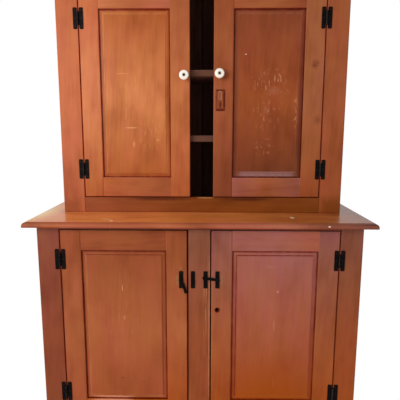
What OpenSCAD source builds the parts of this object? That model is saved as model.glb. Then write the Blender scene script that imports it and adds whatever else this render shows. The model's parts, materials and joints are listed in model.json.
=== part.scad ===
// Step-back hutch cupboard: a base case with two panelled doors, a counter with a moulded
// edge, and a shallower upper case with two panelled doors, shelves and a cornice.
// Millimetres. X runs left to right, Y from the front to the back, Z up from the floor.
// The origin is on the floor, under the middle of the counter.

/* [Base case] */
// Width of the base case
base_w = 1220; // [1100:10:1500]
// Depth of the base case, from its face frame to its back
base_d = 480; // [420:10:600]
// Height of the counter's top surface above the floor
counter_h = 915; // [860:5:1000]
// Height of the open space under the bottom rail
foot_h = 46; // [30:2:90]
// Width of the outer stiles of the base
base_stile_w = 84; // [70:1:110]
// Width of the stile between the base doors
centre_stile_w = 83; // [76:1:110]
// Height of the rail under the counter
base_top_rail_h = 14; // [13:1:40]
// Height of the rail under the base doors
base_bottom_rail_h = 62; // [40:1:90]
// Height of the base shelf's top surface above the floor
base_shelf_h = 500; // [400:5:600]

/* [Counter] */
// Thickness of the counter board
counter_t = 20; // [18:1:32]
// How far the counter reaches past the base at the front and the sides
counter_overhang = 40; // [20:1:60]
// Radius of the counter's rounded edge
counter_round = 12; // [6:0.5:14]
// Height and width of the small step above the rounded edge
counter_quirk = 1.5; // [0.5:0.1:2.5]

/* [Upper case] */
// How far each side of the upper case stands in from the base's side
upper_setback = 47.5; // [20:0.5:80]
// Depth of the upper case, from its face frame to its back
upper_d = 310; // [260:5:360]
// Height of the upper case above the counter
upper_h = 960; // [900:5:1050]
// How far the upper case stands to the right of the base's middle
upper_shift = 6; // [0:1:12]
// Width of the stiles of the upper case
upper_stile_w = 87; // [70:1:100]
// Height of the rail under the upper doors
upper_bottom_rail_h = 62; // [40:1:80]
// Height of the frieze rail above the upper doors
frieze_h = 90; // [80:1:120]
// Width of the open gap between the upper doors
middle_gap_w = 93; // [60:1:120]
// Height of the high shelf's top surface above the counter
high_shelf_h = 566; // [520:2:600]
// Height of the low shelf's top surface above the counter
low_shelf_h = 310; // [260:2:340]
// Thickness of the shelves in the upper case
upper_shelf_t = 24.5; // [18:0.5:28]

/* [Boards] */
// Thickness of the side, bottom and top boards
board_t = 22; // [18:1:28]
// Thickness of the face frames
frame_t = 22; // [21.5:0.5:28]
// Thickness of the planks at the back
back_t = 12; // [10:1:16]
// Number of planks in each back
back_planks = 6; // [4:1:8]
// How far a shelf end or a plank edge is let into the sides
dado_d = 8; // [5:0.5:11]
// Overlap of one back plank over the next
lap_w = 8; // [5:1:12]
// Gap between two back planks
plank_gap = 1; // [0.5:0.5:2]

/* [Cornice] */
// Height of the cornice moulding
cornice_h = 72; // [70:1:78]
// How far the cornice reaches out from the upper case
cornice_out = 52; // [50:1:60]
// Radius of the cornice's hollow
cornice_cove = 38; // [28:1:40]
// How far the cornice rises above the top board
cornice_rise = 5; // [2:1:10]

/* [Doors] */
// Thickness of the doors
door_t = 21; // [19:0.5:21]
// Width of the stiles of the base doors
base_door_stile_w = 78; // [65:1:95]
// Width of the stiles of the upper doors
upper_door_stile_w = 76; // [65:1:90]
// Width of the rails of all doors
door_rail_w = 78; // [65:1:100]
// Gap beside the hinges, between a door and its case
hinge_gap = 2; // [1.6:0.1:3]
// Gap between a base door and the centre stile
latch_gap = 4.5; // [2:0.5:6]
// Gap above a door
door_top_gap = 3.5; // [2:0.5:5]
// Gap below a door
door_bottom_gap = 2.5; // [2:0.5:5]
// Width of the bevel around a panel's field
bevel_w = 18; // [12:1:30]
// How far the panel's field lies behind the door's face
field_inset = 3; // [2:0.5:4]
// Height of the small step between the field and the bevel
field_step = 1.4; // [0.5:0.1:2]
// Depth of the groove that holds the panel
groove_d = 10; // [8:0.5:12]
// Width of the groove that holds the panel
groove_t = 8; // [6:0.5:8]
// Length of the tenons on the door rails
door_tenon_l = 40; // [25:1:55]

/* [Hinges] */
// Height of the hinge leaves
hinge_h = 79; // [70:1:90]
// Width of one hinge leaf beyond the barrel
leaf_w = 15; // [13:0.5:18]
// Thickness of the hinge leaves
leaf_t = 2.5; // [2:0.1:3]
// Height of the hinge barrel
barrel_h = 49; // [40:1:56]
// Radius of the hinge barrel
barrel_r = 4; // [3.6:0.1:4.4]
// Radius of the hinge pin
hinge_pin_r = 2; // [1.6:0.1:2.2]
// Distance from a door's end to the middle of its hinge
hinge_inset = 112; // [90:1:140]

/* [Latches] */
// Distance from the top of a base door down to its latch
latch_drop = 189.5; // [150:0.5:240]
// Distance from a base door's latch edge to its lever's pivot
latch_inset = 22.7; // [20:0.1:25]
// Distance from the edge of the centre stile to the middle of its keeper
keeper_inset = 17.6; // [15:0.1:20]
// Width of the latch plates and keepers
latch_plate_w = 15.5; // [14:0.5:18]
// Height of the latch plates and keepers
latch_plate_h = 67; // [56:1:76]
// Length of a lever from its pivot to its tip
lever_l = 57; // [55:0.5:58]
// Width of the lever between its round ends
lever_w = 11; // [9:0.5:12]
// Thickness of the lever
lever_t = 3; // [2.5:0.1:4]
// Angle of the left lever below level, where it hangs
left_lever_hang = 69; // [45:1:90]
// Angle of the right lever above level, where it is lifted out of its keeper
right_lever_lift = 9; // [9:1:20]

/* [Knobs and lock] */
// Diameter of the porcelain knobs
knob_d = 38; // [32:1:42]
// How far a knob stands out from its door
knob_out = 32; // [28:1:40]
// Distance from a door's latch edge to the middle of its knob
knob_inset = 22; // [20:1:34]
// Height of the left knob above the counter
left_knob_h = 542; // [500:1:600]
// Height of the right knob above the counter
right_knob_h = 548; // [530:1:600]
// Width of the wooden patch where a lock once was
patch_w = 38; // [30:1:42]
// Height of the wooden patch
patch_h = 83; // [60:1:90]
// Height of the patch's middle above the counter
patch_mid_h = 448; // [420:1:460]
// Distance from the door's latch edge to the patch
patch_inset = 8; // [6:0.5:16]
// Thickness of the patch
patch_t = 7; // [5:0.5:9]
// Diameter of the old knob hole in the right base door
knob_hole_d = 17; // [12:0.5:20]
// Distance from the latch down to the old knob hole
knob_hole_drop = 121; // [90:1:150]
// Distance from the door's latch edge to the middle of the old knob hole
knob_hole_inset = 23; // [16:0.5:30]

/* [Fits] */
// Clearance of a glued or housed wooden joint
wood_gap = 0.1; // [0.05:0.05:0.2]
// Room that a panel has to swell in its grooves
swell_gap = 2; // [1:0.5:3]
// Radial clearance of a turning pin
run_gap = 0.05; // [0.02:0.01:0.1]
// Clearance between pieces that slide past each other
slide_gap = 0.2; // [0.15:0.05:0.3]

/* [Hidden] */
// Overshoot of a cut past the face it opens
cut = 1;
$fn = 48;
small_fn = 24;
dome_fn = 180;

// Depths, from the front to the back
total_d = base_d + counter_overhang;
base_front = counter_overhang - total_d / 2;
back_y = base_front + base_d;
base_inner = base_front + frame_t;
upper_front = back_y - upper_d;
upper_inner = upper_front + frame_t;
plank_front = back_y - back_t;

// Heights
base_top = counter_h - counter_t;
base_floor_top = foot_h + base_bottom_rail_h;
base_top_rail_z = base_top - base_top_rail_h;
upper_top = counter_h + upper_h;
frieze_z = upper_top - frieze_h;
upper_rail_top_z = counter_h + upper_bottom_rail_h;
cornice_z = upper_top + cornice_rise - cornice_h;

// Openings of the face frames
base_half = base_w / 2;
upper_half = base_half - upper_setback;
base_open_x = base_half - base_stile_w;
upper_open_x = upper_half - upper_stile_w;
half_centre = centre_stile_w / 2;

// Cornice section
cornice_foot_h = 10;
cornice_foot_step = 3;
cornice_band_h = 4;
cornice_lip = 2;
cornice_round = 6;

// Doors as [width, height, stile width]
base_door_outer = base_open_x - hinge_gap;
base_door_z = base_floor_top + door_bottom_gap;
base_door = [
    base_door_outer - half_centre - latch_gap,
    base_top_rail_z - door_top_gap - base_door_z,
    base_door_stile_w
];
latch_z = base_door_z + base_door[1] - latch_drop;
knob_hole_z = latch_z - knob_hole_drop;
upper_door_outer = upper_open_x - hinge_gap;
upper_door_z = upper_rail_top_z + door_bottom_gap;
upper_door = [
    upper_door_outer - middle_gap_w / 2,
    frieze_z - door_top_gap - upper_door_z,
    upper_door_stile_w
];

// Face frame joints
frame_tenon_l = 28;
frame_tenon_t = 8;
frame_tenon_in = (frame_t - frame_tenon_t) / 2;
frame_shoulder = 3;
stub_tenon_l = 9;

// Door joints
groove_y = 7;
door_tenon_shoulder = 12;
tongue_d = groove_d - swell_gap;

// Hinges
barrel_gap = 0.5;
hinge_axis_out = barrel_r + barrel_gap;
leaf_start = barrel_r + barrel_gap;
leaf_weld = 1;
knuckles = 5;
knuckle_gap = 0.3;
knuckle_pitch = barrel_h / knuckles;
leaf_corner_r = 4;
leaf_screw_x = leaf_start + leaf_w / 2;
leaf_screw_inset = 9.5;
leaf_screw_z = hinge_h / 2 - leaf_screw_inset;
pin_head_lip = 1.2;
pin_head_r = hinge_pin_r + pin_head_lip;
pin_head_h = 1.5;

// Screws
screw_r = 1.7;
screw_head_r = 3.6;
screw_head_h = 1.9;
screw_l = 16;
screw_slot_w = 0.8;
screw_slot_d = 0.7;
screw_tip_gap = 0.5;

// Latches
latch_pivot_x = half_centre + latch_gap + latch_inset;
keeper_x = half_centre - keeper_inset;
latch_plate_t = 2.5;
plate_corner_r = 2.5;
plate_screw_inset = 7;
plate_screw_z = latch_plate_h / 2 - plate_screw_inset;
rivet_r = 3;
rivet_head_r = 5.5;
rivet_head_t = 1.8;
lever_eye_r = 8.5;
lever_tip_r = 7;
lever_back = latch_plate_t + slide_gap;
lever_front = lever_back + lever_t;
hook_w = 10;
hook_floor = 0.3;
hook_wall = 2;
hook_floor_t = 3;
hook_lip_top = -1;

// Knobs
knob_rim_r = 7;
knob_neck_r = 7.5;
knob_foot_r = 10;
knob_foot_t = 3;
knob_dome_r = 45;
knob_crown = 1;
knob_screw_r = 2.2;
knob_screw_head_r = 4.2;
knob_screw_head_t = 2;
knob_screw_bite = 15;

// Lock patch
patch_sunk = 1;
keyhole_w = 6;
keyhole_h = 32;
keyhole_up = 17;
keyhole_aside = 2;

// Colours
wood_light = "#B96B3F";
wood_mid = "#A65A34";
wood_dark = "#8B4A2C";
wood_inside = "#3A2418";
iron = "#1D1B1A";
porcelain = "#F2EEE4";

// A block between two corners, given axis by axis.
module slab(x0, x1, y0, y1, z0, z1) {
    translate([x0, y0, z0])
        cube([x1 - x0, y1 - y0, z1 - z0]);
}

// The right-hand twin of a left-hand piece.
module flip_x() {
    mirror([1, 0, 0])
        children();
}

// Stands a piece drawn about the middle of the upper case on the counter's middle line.
module in_upper() {
    translate([upper_shift, 0, 0])
        children();
}

// Puts a left door's piece in the base: X from the hinge edge, Y from the face.
module on_base_left() {
    translate([-base_door_outer, base_front, base_door_z])
        children();
}

module on_base_right() {
    flip_x()
        on_base_left()
            children();
}

// The same for the upper case, drawn about its own middle.
module at_upper_door() {
    translate([-upper_door_outer, upper_front, upper_door_z])
        children();
}

module on_upper_left() {
    in_upper()
        at_upper_door()
            children();
}

module on_upper_right() {
    in_upper()
        flip_x()
            at_upper_door()
                children();
}

// Case boards

// A left side board with its housings and the rebate for the back.
module side_board(half, inner_y, z0, z1, housings) {
    inner_x = board_t - half;
    difference() {
        slab(-half, inner_x, inner_y, back_y, z0, z1);
        for (h = housings)
            slab(inner_x - dado_d, inner_x + cut, inner_y - cut, plank_front + wood_gap,
                h[0] - wood_gap, h[1] + wood_gap);
        slab(inner_x - dado_d, inner_x + cut, plank_front, back_y + cut,
            z0 - cut, z1 + cut);
    }
}

// A level board housed in both sides.
module housed_board(half, inner_y, z0, z1) {
    reach = half - board_t + dado_d - wood_gap;
    slab(-reach, reach, inner_y, plank_front, z0, z1);
}

// Section of one back plank. Its tongue lies behind the next plank, but the last has none.
module plank_section(left, pitch, first, last) {
    front_right = left + pitch - (last ? 0 : plank_gap);
    rear_left = left + (first ? 0 : lap_w);
    lap_y = plank_front + back_t / 2;
    translate([left, plank_front])
        square([front_right - left, back_t / 2]);
    translate([rear_left, lap_y])
        square([front_right - rear_left, back_t / 2]);
    if (!last)
        translate([front_right - plank_gap, lap_y + wood_gap])
            square([plank_gap + lap_w, back_t / 2 - wood_gap]);
}

// Vertical planks that lap over each other, in the rebates of the sides.
module plank_back(half, z0, z1) {
    reach = half - board_t + dado_d - wood_gap;
    pitch = 2 * reach / back_planks;
    translate([0, 0, z0])
        for (i = [0 : back_planks - 1])
            linear_extrude(height = z1 - z0)
                plank_section(i * pitch - reach, pitch, i == 0, i == back_planks - 1);
}

base_housings = [
    [base_floor_top - board_t, base_floor_top],
    [base_shelf_h - board_t, base_shelf_h]
];
upper_housings = [
    [counter_h - cut, counter_h + board_t],
    [counter_h + low_shelf_h - upper_shelf_t, counter_h + low_shelf_h],
    [counter_h + high_shelf_h - upper_shelf_t, counter_h + high_shelf_h],
    [upper_top - board_t, upper_top + cut]
];

module base_side() {
    side_board(base_half, base_inner, 0, base_top, base_housings);
}

module upper_side() {
    side_board(upper_half, upper_inner, counter_h, upper_top, upper_housings);
}

module base_side_left() {
    color(wood_mid)
        base_side();
}

module base_side_right() {
    color(wood_mid)
        flip_x()
            base_side();
}

module base_bottom_board() {
    color(wood_inside)
        housed_board(base_half, base_inner, base_floor_top - board_t, base_floor_top);
}

module base_shelf() {
    color(wood_inside)
        housed_board(base_half, base_inner, base_shelf_h - board_t, base_shelf_h);
}

module base_back_planks() {
    color(wood_inside)
        plank_back(base_half, foot_h, base_top);
}

module upper_side_left() {
    color(wood_mid)
        in_upper()
            upper_side();
}

module upper_side_right() {
    color(wood_mid)
        in_upper()
            flip_x()
                upper_side();
}

module upper_bottom_board() {
    color(wood_inside)
        in_upper()
            housed_board(upper_half, upper_inner, counter_h, counter_h + board_t);
}

module upper_top_board() {
    color(wood_dark)
        in_upper()
            housed_board(upper_half, upper_inner, upper_top - board_t, upper_top);
}

module upper_shelf(top) {
    color(wood_mid)
        in_upper()
            housed_board(upper_half, upper_inner, counter_h + top - upper_shelf_t,
                counter_h + top);
}

module upper_high_shelf() {
    upper_shelf(high_shelf_h);
}

module upper_low_shelf() {
    upper_shelf(low_shelf_h);
}

module upper_back_planks() {
    color(wood_inside)
        in_upper()
            plank_back(upper_half, counter_h, upper_top);
}

// Face frames

// The tenons of a rail that spans from -span to span. It is grown for its mortises.
module frame_tenon(span, front, z0, z1, grow) {
    slab(-span - frame_tenon_l - grow, span + frame_tenon_l + grow,
        front + frame_tenon_in - grow, front + frame_tenon_in + frame_tenon_t + grow,
        z0 + frame_shoulder - grow, z1 - frame_shoulder + grow);
}

module frame_rail(span, front, z0, z1) {
    slab(-span, span, front, front + frame_t, z0, z1);
    frame_tenon(span, front, z0, z1, 0);
}

// The short tenons at both ends of the centre stile.
module centre_tenon(grow) {
    inset = frame_tenon_in;
    slab(inset - half_centre - grow, half_centre - inset + grow,
        base_front + inset - grow, base_front + inset + frame_tenon_t + grow,
        base_floor_top - stub_tenon_l - grow, base_top_rail_z + stub_tenon_l + grow);
}

module base_stile() {
    difference() {
        slab(-base_half, -base_open_x, base_front, base_inner, 0, base_top);
        frame_tenon(base_open_x, base_front, base_top_rail_z, base_top, wood_gap);
        frame_tenon(base_open_x, base_front, foot_h, base_floor_top, wood_gap);
        base_hinge_pilots();
    }
}

module upper_stile() {
    difference() {
        slab(-upper_half, -upper_open_x, upper_front, upper_inner, counter_h, upper_top);
        frame_tenon(upper_open_x, upper_front, frieze_z, upper_top, wood_gap);
        frame_tenon(upper_open_x, upper_front, counter_h, upper_rail_top_z, wood_gap);
        upper_hinge_pilots();
    }
}

module base_stile_left() {
    color(wood_light)
        base_stile();
}

module base_stile_right() {
    color(wood_dark)
        flip_x()
            base_stile();
}

module base_stile_centre() {
    color(wood_mid)
        difference() {
            union() {
                slab(-half_centre, half_centre, base_front, base_inner,
                    base_floor_top, base_top_rail_z);
                centre_tenon(0);
            }
            keeper_pilots();
            flip_x()
                keeper_pilots();
        }
}

module base_top_rail() {
    color(wood_mid)
        difference() {
            frame_rail(base_open_x, base_front, base_top_rail_z, base_top);
            centre_tenon(wood_gap);
        }
}

module base_bottom_rail() {
    color(wood_mid)
        difference() {
            frame_rail(base_open_x, base_front, foot_h, base_floor_top);
            centre_tenon(wood_gap);
        }
}

module upper_stile_left() {
    color(wood_light)
        in_upper()
            upper_stile();
}

module upper_stile_right() {
    color(wood_dark)
        in_upper()
            flip_x()
                upper_stile();
}

module upper_frieze_rail() {
    color(wood_mid)
        in_upper()
            frame_rail(upper_open_x, upper_front, frieze_z, upper_top);
}

module upper_bottom_rail() {
    color(wood_mid)
        in_upper()
            frame_rail(upper_open_x, upper_front, counter_h, upper_rail_top_z);
}

// Counter

// Section of the counter from its middle to one moulded edge, X outwards.
module counter_half_section(reach) {
    edge_x = reach - counter_round;
    round_z = counter_t - counter_quirk - counter_round;
    square([reach, round_z]);
    square([edge_x, counter_t - counter_quirk]);
    square([edge_x - counter_quirk, counter_t]);
    translate([edge_x, round_z])
        intersection() {
            circle(counter_round);
            square(counter_round + cut);
        }
}

// The front edge and the two side edges carry the same moulding and meet in mitres.
module counter_top() {
    reach_x = base_half + counter_overhang;
    color(wood_light)
        translate([0, 0, base_top])
            intersection() {
                translate([0, back_y, 0])
                    rotate([90, 0, 0])
                        linear_extrude(height = total_d)
                            union() {
                                counter_half_section(reach_x);
                                mirror([1, 0])
                                    counter_half_section(reach_x);
                            }
                translate([-reach_x, back_y, 0])
                    rotate([90, 0, -90])
                        mirror([0, 0, 1])
                            linear_extrude(height = 2 * reach_x)
                                counter_half_section(total_d);
            }
}

// Cornice

// Section of the cornice: X out from the case, Y up from its lower edge. A stepped foot
// carries the hollow, and a flat band under the cap closes it.
module cornice_section() {
    foot_x = cornice_out - cornice_cove;
    cove_top = cornice_foot_h + cornice_cove;
    band_x = cornice_out - cornice_lip;
    cap_y = cove_top + cornice_band_h;
    round_x = cornice_out - cornice_round;
    round_y = cornice_h - cornice_round;
    square([foot_x - cornice_foot_step, cove_top]);
    translate([0, cornice_foot_h - cornice_band_h])
        square([foot_x, cornice_cove]);
    difference() {
        translate([0, cornice_foot_h])
            square([band_x, cornice_cove]);
        translate([cornice_out, cornice_foot_h])
            circle(cornice_cove);
    }
    translate([0, cove_top])
        square([band_x, cornice_band_h]);
    translate([0, cap_y])
        square([cornice_out, round_y - cap_y]);
    translate([0, cap_y])
        square([round_x, cornice_h - cap_y]);
    translate([round_x, round_y])
        intersection() {
            circle(cornice_round);
            square(cornice_round + cut);
        }
}

module cornice_front() {
    reach = upper_half + cornice_out;
    color(wood_mid)
        in_upper()
            intersection() {
                translate([-reach, upper_front, cornice_z])
                    rotate([90, 0, -90])
                        mirror([0, 0, 1])
                            linear_extrude(height = 2 * reach)
                                cornice_section();
                translate([0, 0, cornice_z])
                    linear_extrude(height = cornice_h)
                        polygon([
                            [-upper_half, upper_front],
                            [upper_half, upper_front],
                            [reach, upper_front - cornice_out],
                            [-reach, upper_front - cornice_out]
                        ]);
            }
}

module cornice_return() {
    reach = upper_half + cornice_out;
    intersection() {
        translate([upper_half, back_y, cornice_z])
            rotate([90, 0, 0])
                linear_extrude(height = upper_d + cornice_out)
                    cornice_section();
        translate([0, 0, cornice_z])
            linear_extrude(height = cornice_h)
                polygon([
                    [upper_half, upper_front],
                    [upper_half, back_y],
                    [reach, back_y],
                    [reach, upper_front - cornice_out]
                ]);
    }
}

module cornice_returns() {
    color(wood_mid)
        in_upper() {
            cornice_return();
            flip_x()
                cornice_return();
        }
}

// Doors, drawn left-handed: X from the hinge edge, Y from the face, Z from the bottom

// The room that the panel's grooves make.
module panel_room(d) {
    slab(d[2] - groove_d, d[0] - d[2] + groove_d, groove_y, groove_y + groove_t,
        door_rail_w - groove_d, d[1] - door_rail_w + groove_d);
}

// The tenons of the bottom or the top rail. They are grown for their mortises.
module door_tenon(d, top, grow) {
    z0 = top ? d[1] - door_rail_w + groove_d : door_tenon_shoulder;
    z1 = top ? d[1] - door_tenon_shoulder : door_rail_w - groove_d;
    slab(d[2] - door_tenon_l - grow, d[0] - d[2] + door_tenon_l + grow,
        groove_y - grow, groove_y + groove_t + grow, z0 - grow, z1 + grow);
}

module door_stile(d, x0) {
    difference() {
        slab(x0, x0 + d[2], 0, door_t, 0, d[1]);
        panel_room(d);
        door_tenon(d, false, wood_gap);
        door_tenon(d, true, wood_gap);
    }
}

module door_hinge_stile(d) {
    difference() {
        door_stile(d, 0);
        door_hinge_pilots(d);
    }
}

module door_latch_stile(d) {
    door_stile(d, d[0] - d[2]);
}

module door_rails(d) {
    difference() {
        union() {
            slab(d[2], d[0] - d[2], 0, door_t, 0, door_rail_w);
            door_tenon(d, false, 0);
            slab(d[2], d[0] - d[2], 0, door_t, d[1] - door_rail_w, d[1]);
            door_tenon(d, true, 0);
        }
        panel_room(d);
    }
}

// Section of a raised panel across its whole size: X across, Y from face to back.
module panel_section(size) {
    back = groove_y + groove_t - wood_gap;
    tongue = groove_y + wood_gap;
    field_x = tongue_d + bevel_w;
    bevel_top = field_inset + field_step;
    polygon([
        [0, back],
        [0, tongue],
        [tongue_d, tongue],
        [field_x, bevel_top],
        [field_x, field_inset],
        [size - field_x, field_inset],
        [size - field_x, bevel_top],
        [size - tongue_d, tongue],
        [size, tongue],
        [size, back]
    ]);
}

module door_panel(d) {
    w = d[0] - 2 * d[2] + 2 * tongue_d;
    h = d[1] - 2 * door_rail_w + 2 * tongue_d;
    translate([d[2] - tongue_d, 0, door_rail_w - tongue_d])
        intersection() {
            linear_extrude(height = h)
                panel_section(w);
            translate([0, 0, h])
                rotate([0, 90, 0])
                    linear_extrude(height = w)
                        panel_section(h);
        }
}

// Screws, drawn with the top of the head at the origin and the point towards +Y

module screw(length) {
    rotate([-90, 0, 0])
        difference() {
            union() {
                cylinder(h = screw_head_h, r1 = screw_head_r, r2 = screw_r, $fn = small_fn);
                cylinder(h = length, r = screw_r, $fn = small_fn);
            }
            translate([-screw_head_r - cut, -screw_slot_w / 2, -cut])
                cube([2 * (screw_head_r + cut), screw_slot_w, cut + screw_slot_d]);
        }
}

// The countersunk hole through a plate of thickness t, for a screw at the origin.
module screw_hole(t) {
    rotate([-90, 0, 0]) {
        translate([0, 0, -cut])
            cylinder(h = t + 2 * cut, r = screw_r + run_gap, $fn = small_fn);
        cylinder(h = screw_head_h, r1 = screw_head_r + run_gap, r2 = screw_r + run_gap,
            $fn = small_fn);
    }
}

// The hole in the wood under a plate of thickness t, whose face is at Y = 0.
module pilot(t) {
    rotate([-90, 0, 0])
        translate([0, 0, -cut])
            cylinder(h = cut + screw_l - t + screw_tip_gap, r = screw_r + run_gap,
                $fn = small_fn);
}

// Hinges, drawn about the hinge line: X across the leaf, Y from the wood's face

// A plate of that width and height, round at its corners, with its back at Y = 0.
module round_plate(x0, w, h, t, r) {
    rotate([90, 0, 0])
        linear_extrude(height = t)
            union() {
                translate([x0 + r, -h / 2])
                    square([w - 2 * r, h]);
                translate([x0, r - h / 2])
                    square([w, h - 2 * r]);
                for (x = [x0 + r, x0 + w - r], z = [r - h / 2, h / 2 - r])
                    translate([x, z])
                        circle(r, $fn = small_fn);
            }
}

module hinge_screw_spots() {
    for (z = [-leaf_screw_z, 0, leaf_screw_z])
        translate([leaf_screw_x, 0, z])
            children();
}

module leaf_pilots() {
    hinge_screw_spots()
        pilot(leaf_t);
}

// One leaf with every second knuckle, starting from the given one.
module hinge_leaf(first) {
    difference() {
        union() {
            round_plate(leaf_start, leaf_w, hinge_h, leaf_t, leaf_corner_r);
            for (i = [first : 2 : knuckles - 1])
                translate([0, 0, i * knuckle_pitch - barrel_h / 2 + knuckle_gap / 2]) {
                    slab(0, leaf_start + leaf_weld, -leaf_t, 0,
                        0, knuckle_pitch - knuckle_gap);
                    translate([0, -hinge_axis_out, 0])
                        cylinder(h = knuckle_pitch - knuckle_gap, r = barrel_r);
                }
        }
        translate([0, -hinge_axis_out, -barrel_h / 2 - cut])
            cylinder(h = barrel_h + 2 * cut, r = hinge_pin_r + run_gap);
        translate([0, -leaf_t, 0])
            hinge_screw_spots()
                screw_hole(leaf_t);
    }
}

module hinge_pin() {
    translate([0, -hinge_axis_out, -barrel_h / 2]) {
        cylinder(h = barrel_h, r = hinge_pin_r);
        cylinder(h = knuckle_gap / 2, r = pin_head_r);
        translate([0, 0, -pin_head_h])
            cylinder(h = pin_head_h, r = pin_head_r);
        translate([0, 0, barrel_h - knuckle_gap / 2])
            cylinder(h = pin_head_h + knuckle_gap / 2, r = pin_head_r);
    }
}

// The two hinge lines of a left door, with X towards the door.
module at_door_hinges(d) {
    for (z = [hinge_inset, d[1] - hinge_inset])
        translate([-hinge_gap / 2, 0, z])
            children();
}

module door_hinge_pilots(d) {
    at_door_hinges(d)
        leaf_pilots();
}

// The pilots in a left stile of the case, on the other side of the hinge line.
module base_hinge_pilots() {
    on_base_left()
        at_door_hinges(base_door)
            flip_x()
                leaf_pilots();
}

module upper_hinge_pilots() {
    at_upper_door()
        at_door_hinges(upper_door)
            flip_x()
                leaf_pilots();
}

module door_hinge_leaves(d) {
    color(iron)
        at_door_hinges(d)
            hinge_leaf(1);
}

// Repeats a left door's piece at all four doors.
module at_all_doors() {
    on_base_left()
        at_door_hinges(base_door)
            children();
    on_base_right()
        at_door_hinges(base_door)
            children();
    on_upper_left()
        at_door_hinges(upper_door)
            children();
    on_upper_right()
        at_door_hinges(upper_door)
            children();
}

module hinge_case_leaves() {
    color(iron)
        at_all_doors()
            flip_x()
                hinge_leaf(0);
}

module hinge_pins() {
    color(iron)
        at_all_doors()
            hinge_pin();
}

module leaf_screws() {
    translate([0, -leaf_t, 0])
        hinge_screw_spots()
            screw(screw_l);
}

module case_screws() {
    color(iron) {
        at_all_doors()
            flip_x()
                leaf_screws();
        at_keeper()
            plate_screws();
        flip_x()
            at_keeper()
                plate_screws();
    }
}

module door_screws(d) {
    color(iron)
        at_door_hinges(d)
            leaf_screws();
}

// Latches, drawn about the lever's pivot: X towards the door's edge, Y from the face

// The left keeper's middle, on the centre stile.
module at_keeper() {
    translate([-keeper_x, base_front, latch_z])
        children();
}

// The left lever's pivot, on the left base door.
module at_pivot() {
    translate([-latch_pivot_x, base_front, latch_z])
        children();
}

module plate_screw_spots() {
    for (z = [-plate_screw_z, plate_screw_z])
        translate([0, 0, z])
            children();
}

module plate_screws() {
    translate([0, -latch_plate_t, 0])
        plate_screw_spots()
            screw(screw_l);
}

module keeper_pilots() {
    at_keeper()
        plate_screw_spots()
            pilot(latch_plate_t);
}

module latch_plate_blank() {
    difference() {
        round_plate(-latch_plate_w / 2, latch_plate_w, latch_plate_h, latch_plate_t,
            plate_corner_r);
        translate([0, -latch_plate_t, 0])
            plate_screw_spots()
                screw_hole(latch_plate_t);
    }
}

// The plate on the door, with the rivet that the lever turns on.
module latch_plate() {
    head_y = lever_front + slide_gap;
    latch_plate_blank();
    rotate([90, 0, 0]) {
        cylinder(h = head_y + rivet_head_t / 2, r = rivet_r);
        translate([0, 0, head_y])
            cylinder(h = rivet_head_t, r = rivet_head_r);
    }
}

// The keeper, with a hook that is open at its top. The lever drops into it from above.
module keeper() {
    lip_y = lever_front + hook_floor;
    floor_z = -lever_tip_r - hook_floor;
    latch_plate_blank();
    slab(-hook_w / 2, hook_w / 2, -lip_y - hook_wall, -latch_plate_t / 2,
        floor_z - hook_floor_t, floor_z);
    slab(-hook_w / 2, hook_w / 2, -lip_y - hook_wall, -lip_y,
        floor_z - hook_floor_t, hook_lip_top);
}

// The lever, drawn level and pointing along +X.
module lever() {
    difference() {
        translate([0, -lever_back, 0])
            rotate([90, 0, 0])
                linear_extrude(height = lever_t)
                    union() {
                        circle(lever_eye_r);
                        translate([0, -lever_w / 2])
                            square([lever_l - lever_tip_r, lever_w]);
                        translate([lever_l - lever_tip_r, 0])
                            circle(lever_tip_r);
                    }
        rotate([90, 0, 0])
            cylinder(h = lever_front + cut, r = rivet_r + run_gap);
    }
}

module latch_keepers() {
    color(iron) {
        at_keeper()
            keeper();
        flip_x()
            at_keeper()
                keeper();
    }
}

// Knobs, drawn with the foot at the origin and the front towards -Y

module knob_section() {
    head_x = knob_d / 2 - knob_rim_r;
    head_z = knob_out - 2 * knob_rim_r - knob_crown;
    square([knob_foot_r, knob_foot_t]);
    square([knob_neck_r, knob_out - knob_rim_r]);
    translate([0, head_z])
        square([head_x, 2 * knob_rim_r]);
    translate([head_x, head_z + knob_rim_r])
        circle(knob_rim_r);
    intersection() {
        translate([0, knob_out - knob_dome_r])
            circle(knob_dome_r, $fn = dome_fn);
        translate([0, knob_out - 2 * knob_crown])
            square([head_x, 2 * knob_crown + cut]);
    }
}

module knob() {
    rotate([90, 0, 0])
        difference() {
            rotate_extrude()
                knob_section();
            translate([0, 0, -cut])
                cylinder(h = knob_out + 2 * cut, r = knob_screw_r + run_gap);
            translate([0, 0, knob_out - knob_screw_head_t])
                cylinder(h = knob_screw_head_t + cut, r = knob_screw_head_r + run_gap);
        }
}

module knob_screw() {
    rotate([90, 0, 0])
        difference() {
            union() {
                translate([0, 0, -knob_screw_bite])
                    cylinder(h = knob_screw_bite + knob_out - knob_screw_head_t / 2,
                        r = knob_screw_r);
                translate([0, 0, knob_out - knob_screw_head_t])
                    cylinder(h = knob_screw_head_t, r = knob_screw_head_r);
            }
            translate([-knob_screw_head_r - cut, -screw_slot_w / 2, knob_out - screw_slot_d])
                cube([2 * (knob_screw_head_r + cut), screw_slot_w, cut + screw_slot_d]);
        }
}

module knob_pilot() {
    rotate([-90, 0, 0])
        translate([0, 0, -cut])
            cylinder(h = cut + knob_screw_bite + screw_tip_gap, r = knob_screw_r + run_gap);
}

// A knob's place on an upper door, h above the counter.
module at_knob(h) {
    translate([upper_door[0] - knob_inset, 0, counter_h + h - upper_door_z])
        children();
}

// Upper left door

module upper_left_hinge_stile() {
    color(wood_light)
        on_upper_left()
            door_hinge_stile(upper_door);
}

module upper_left_latch_stile() {
    color(wood_light)
        on_upper_left()
            difference() {
                door_latch_stile(upper_door);
                at_knob(left_knob_h)
                    knob_pilot();
            }
}

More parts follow.
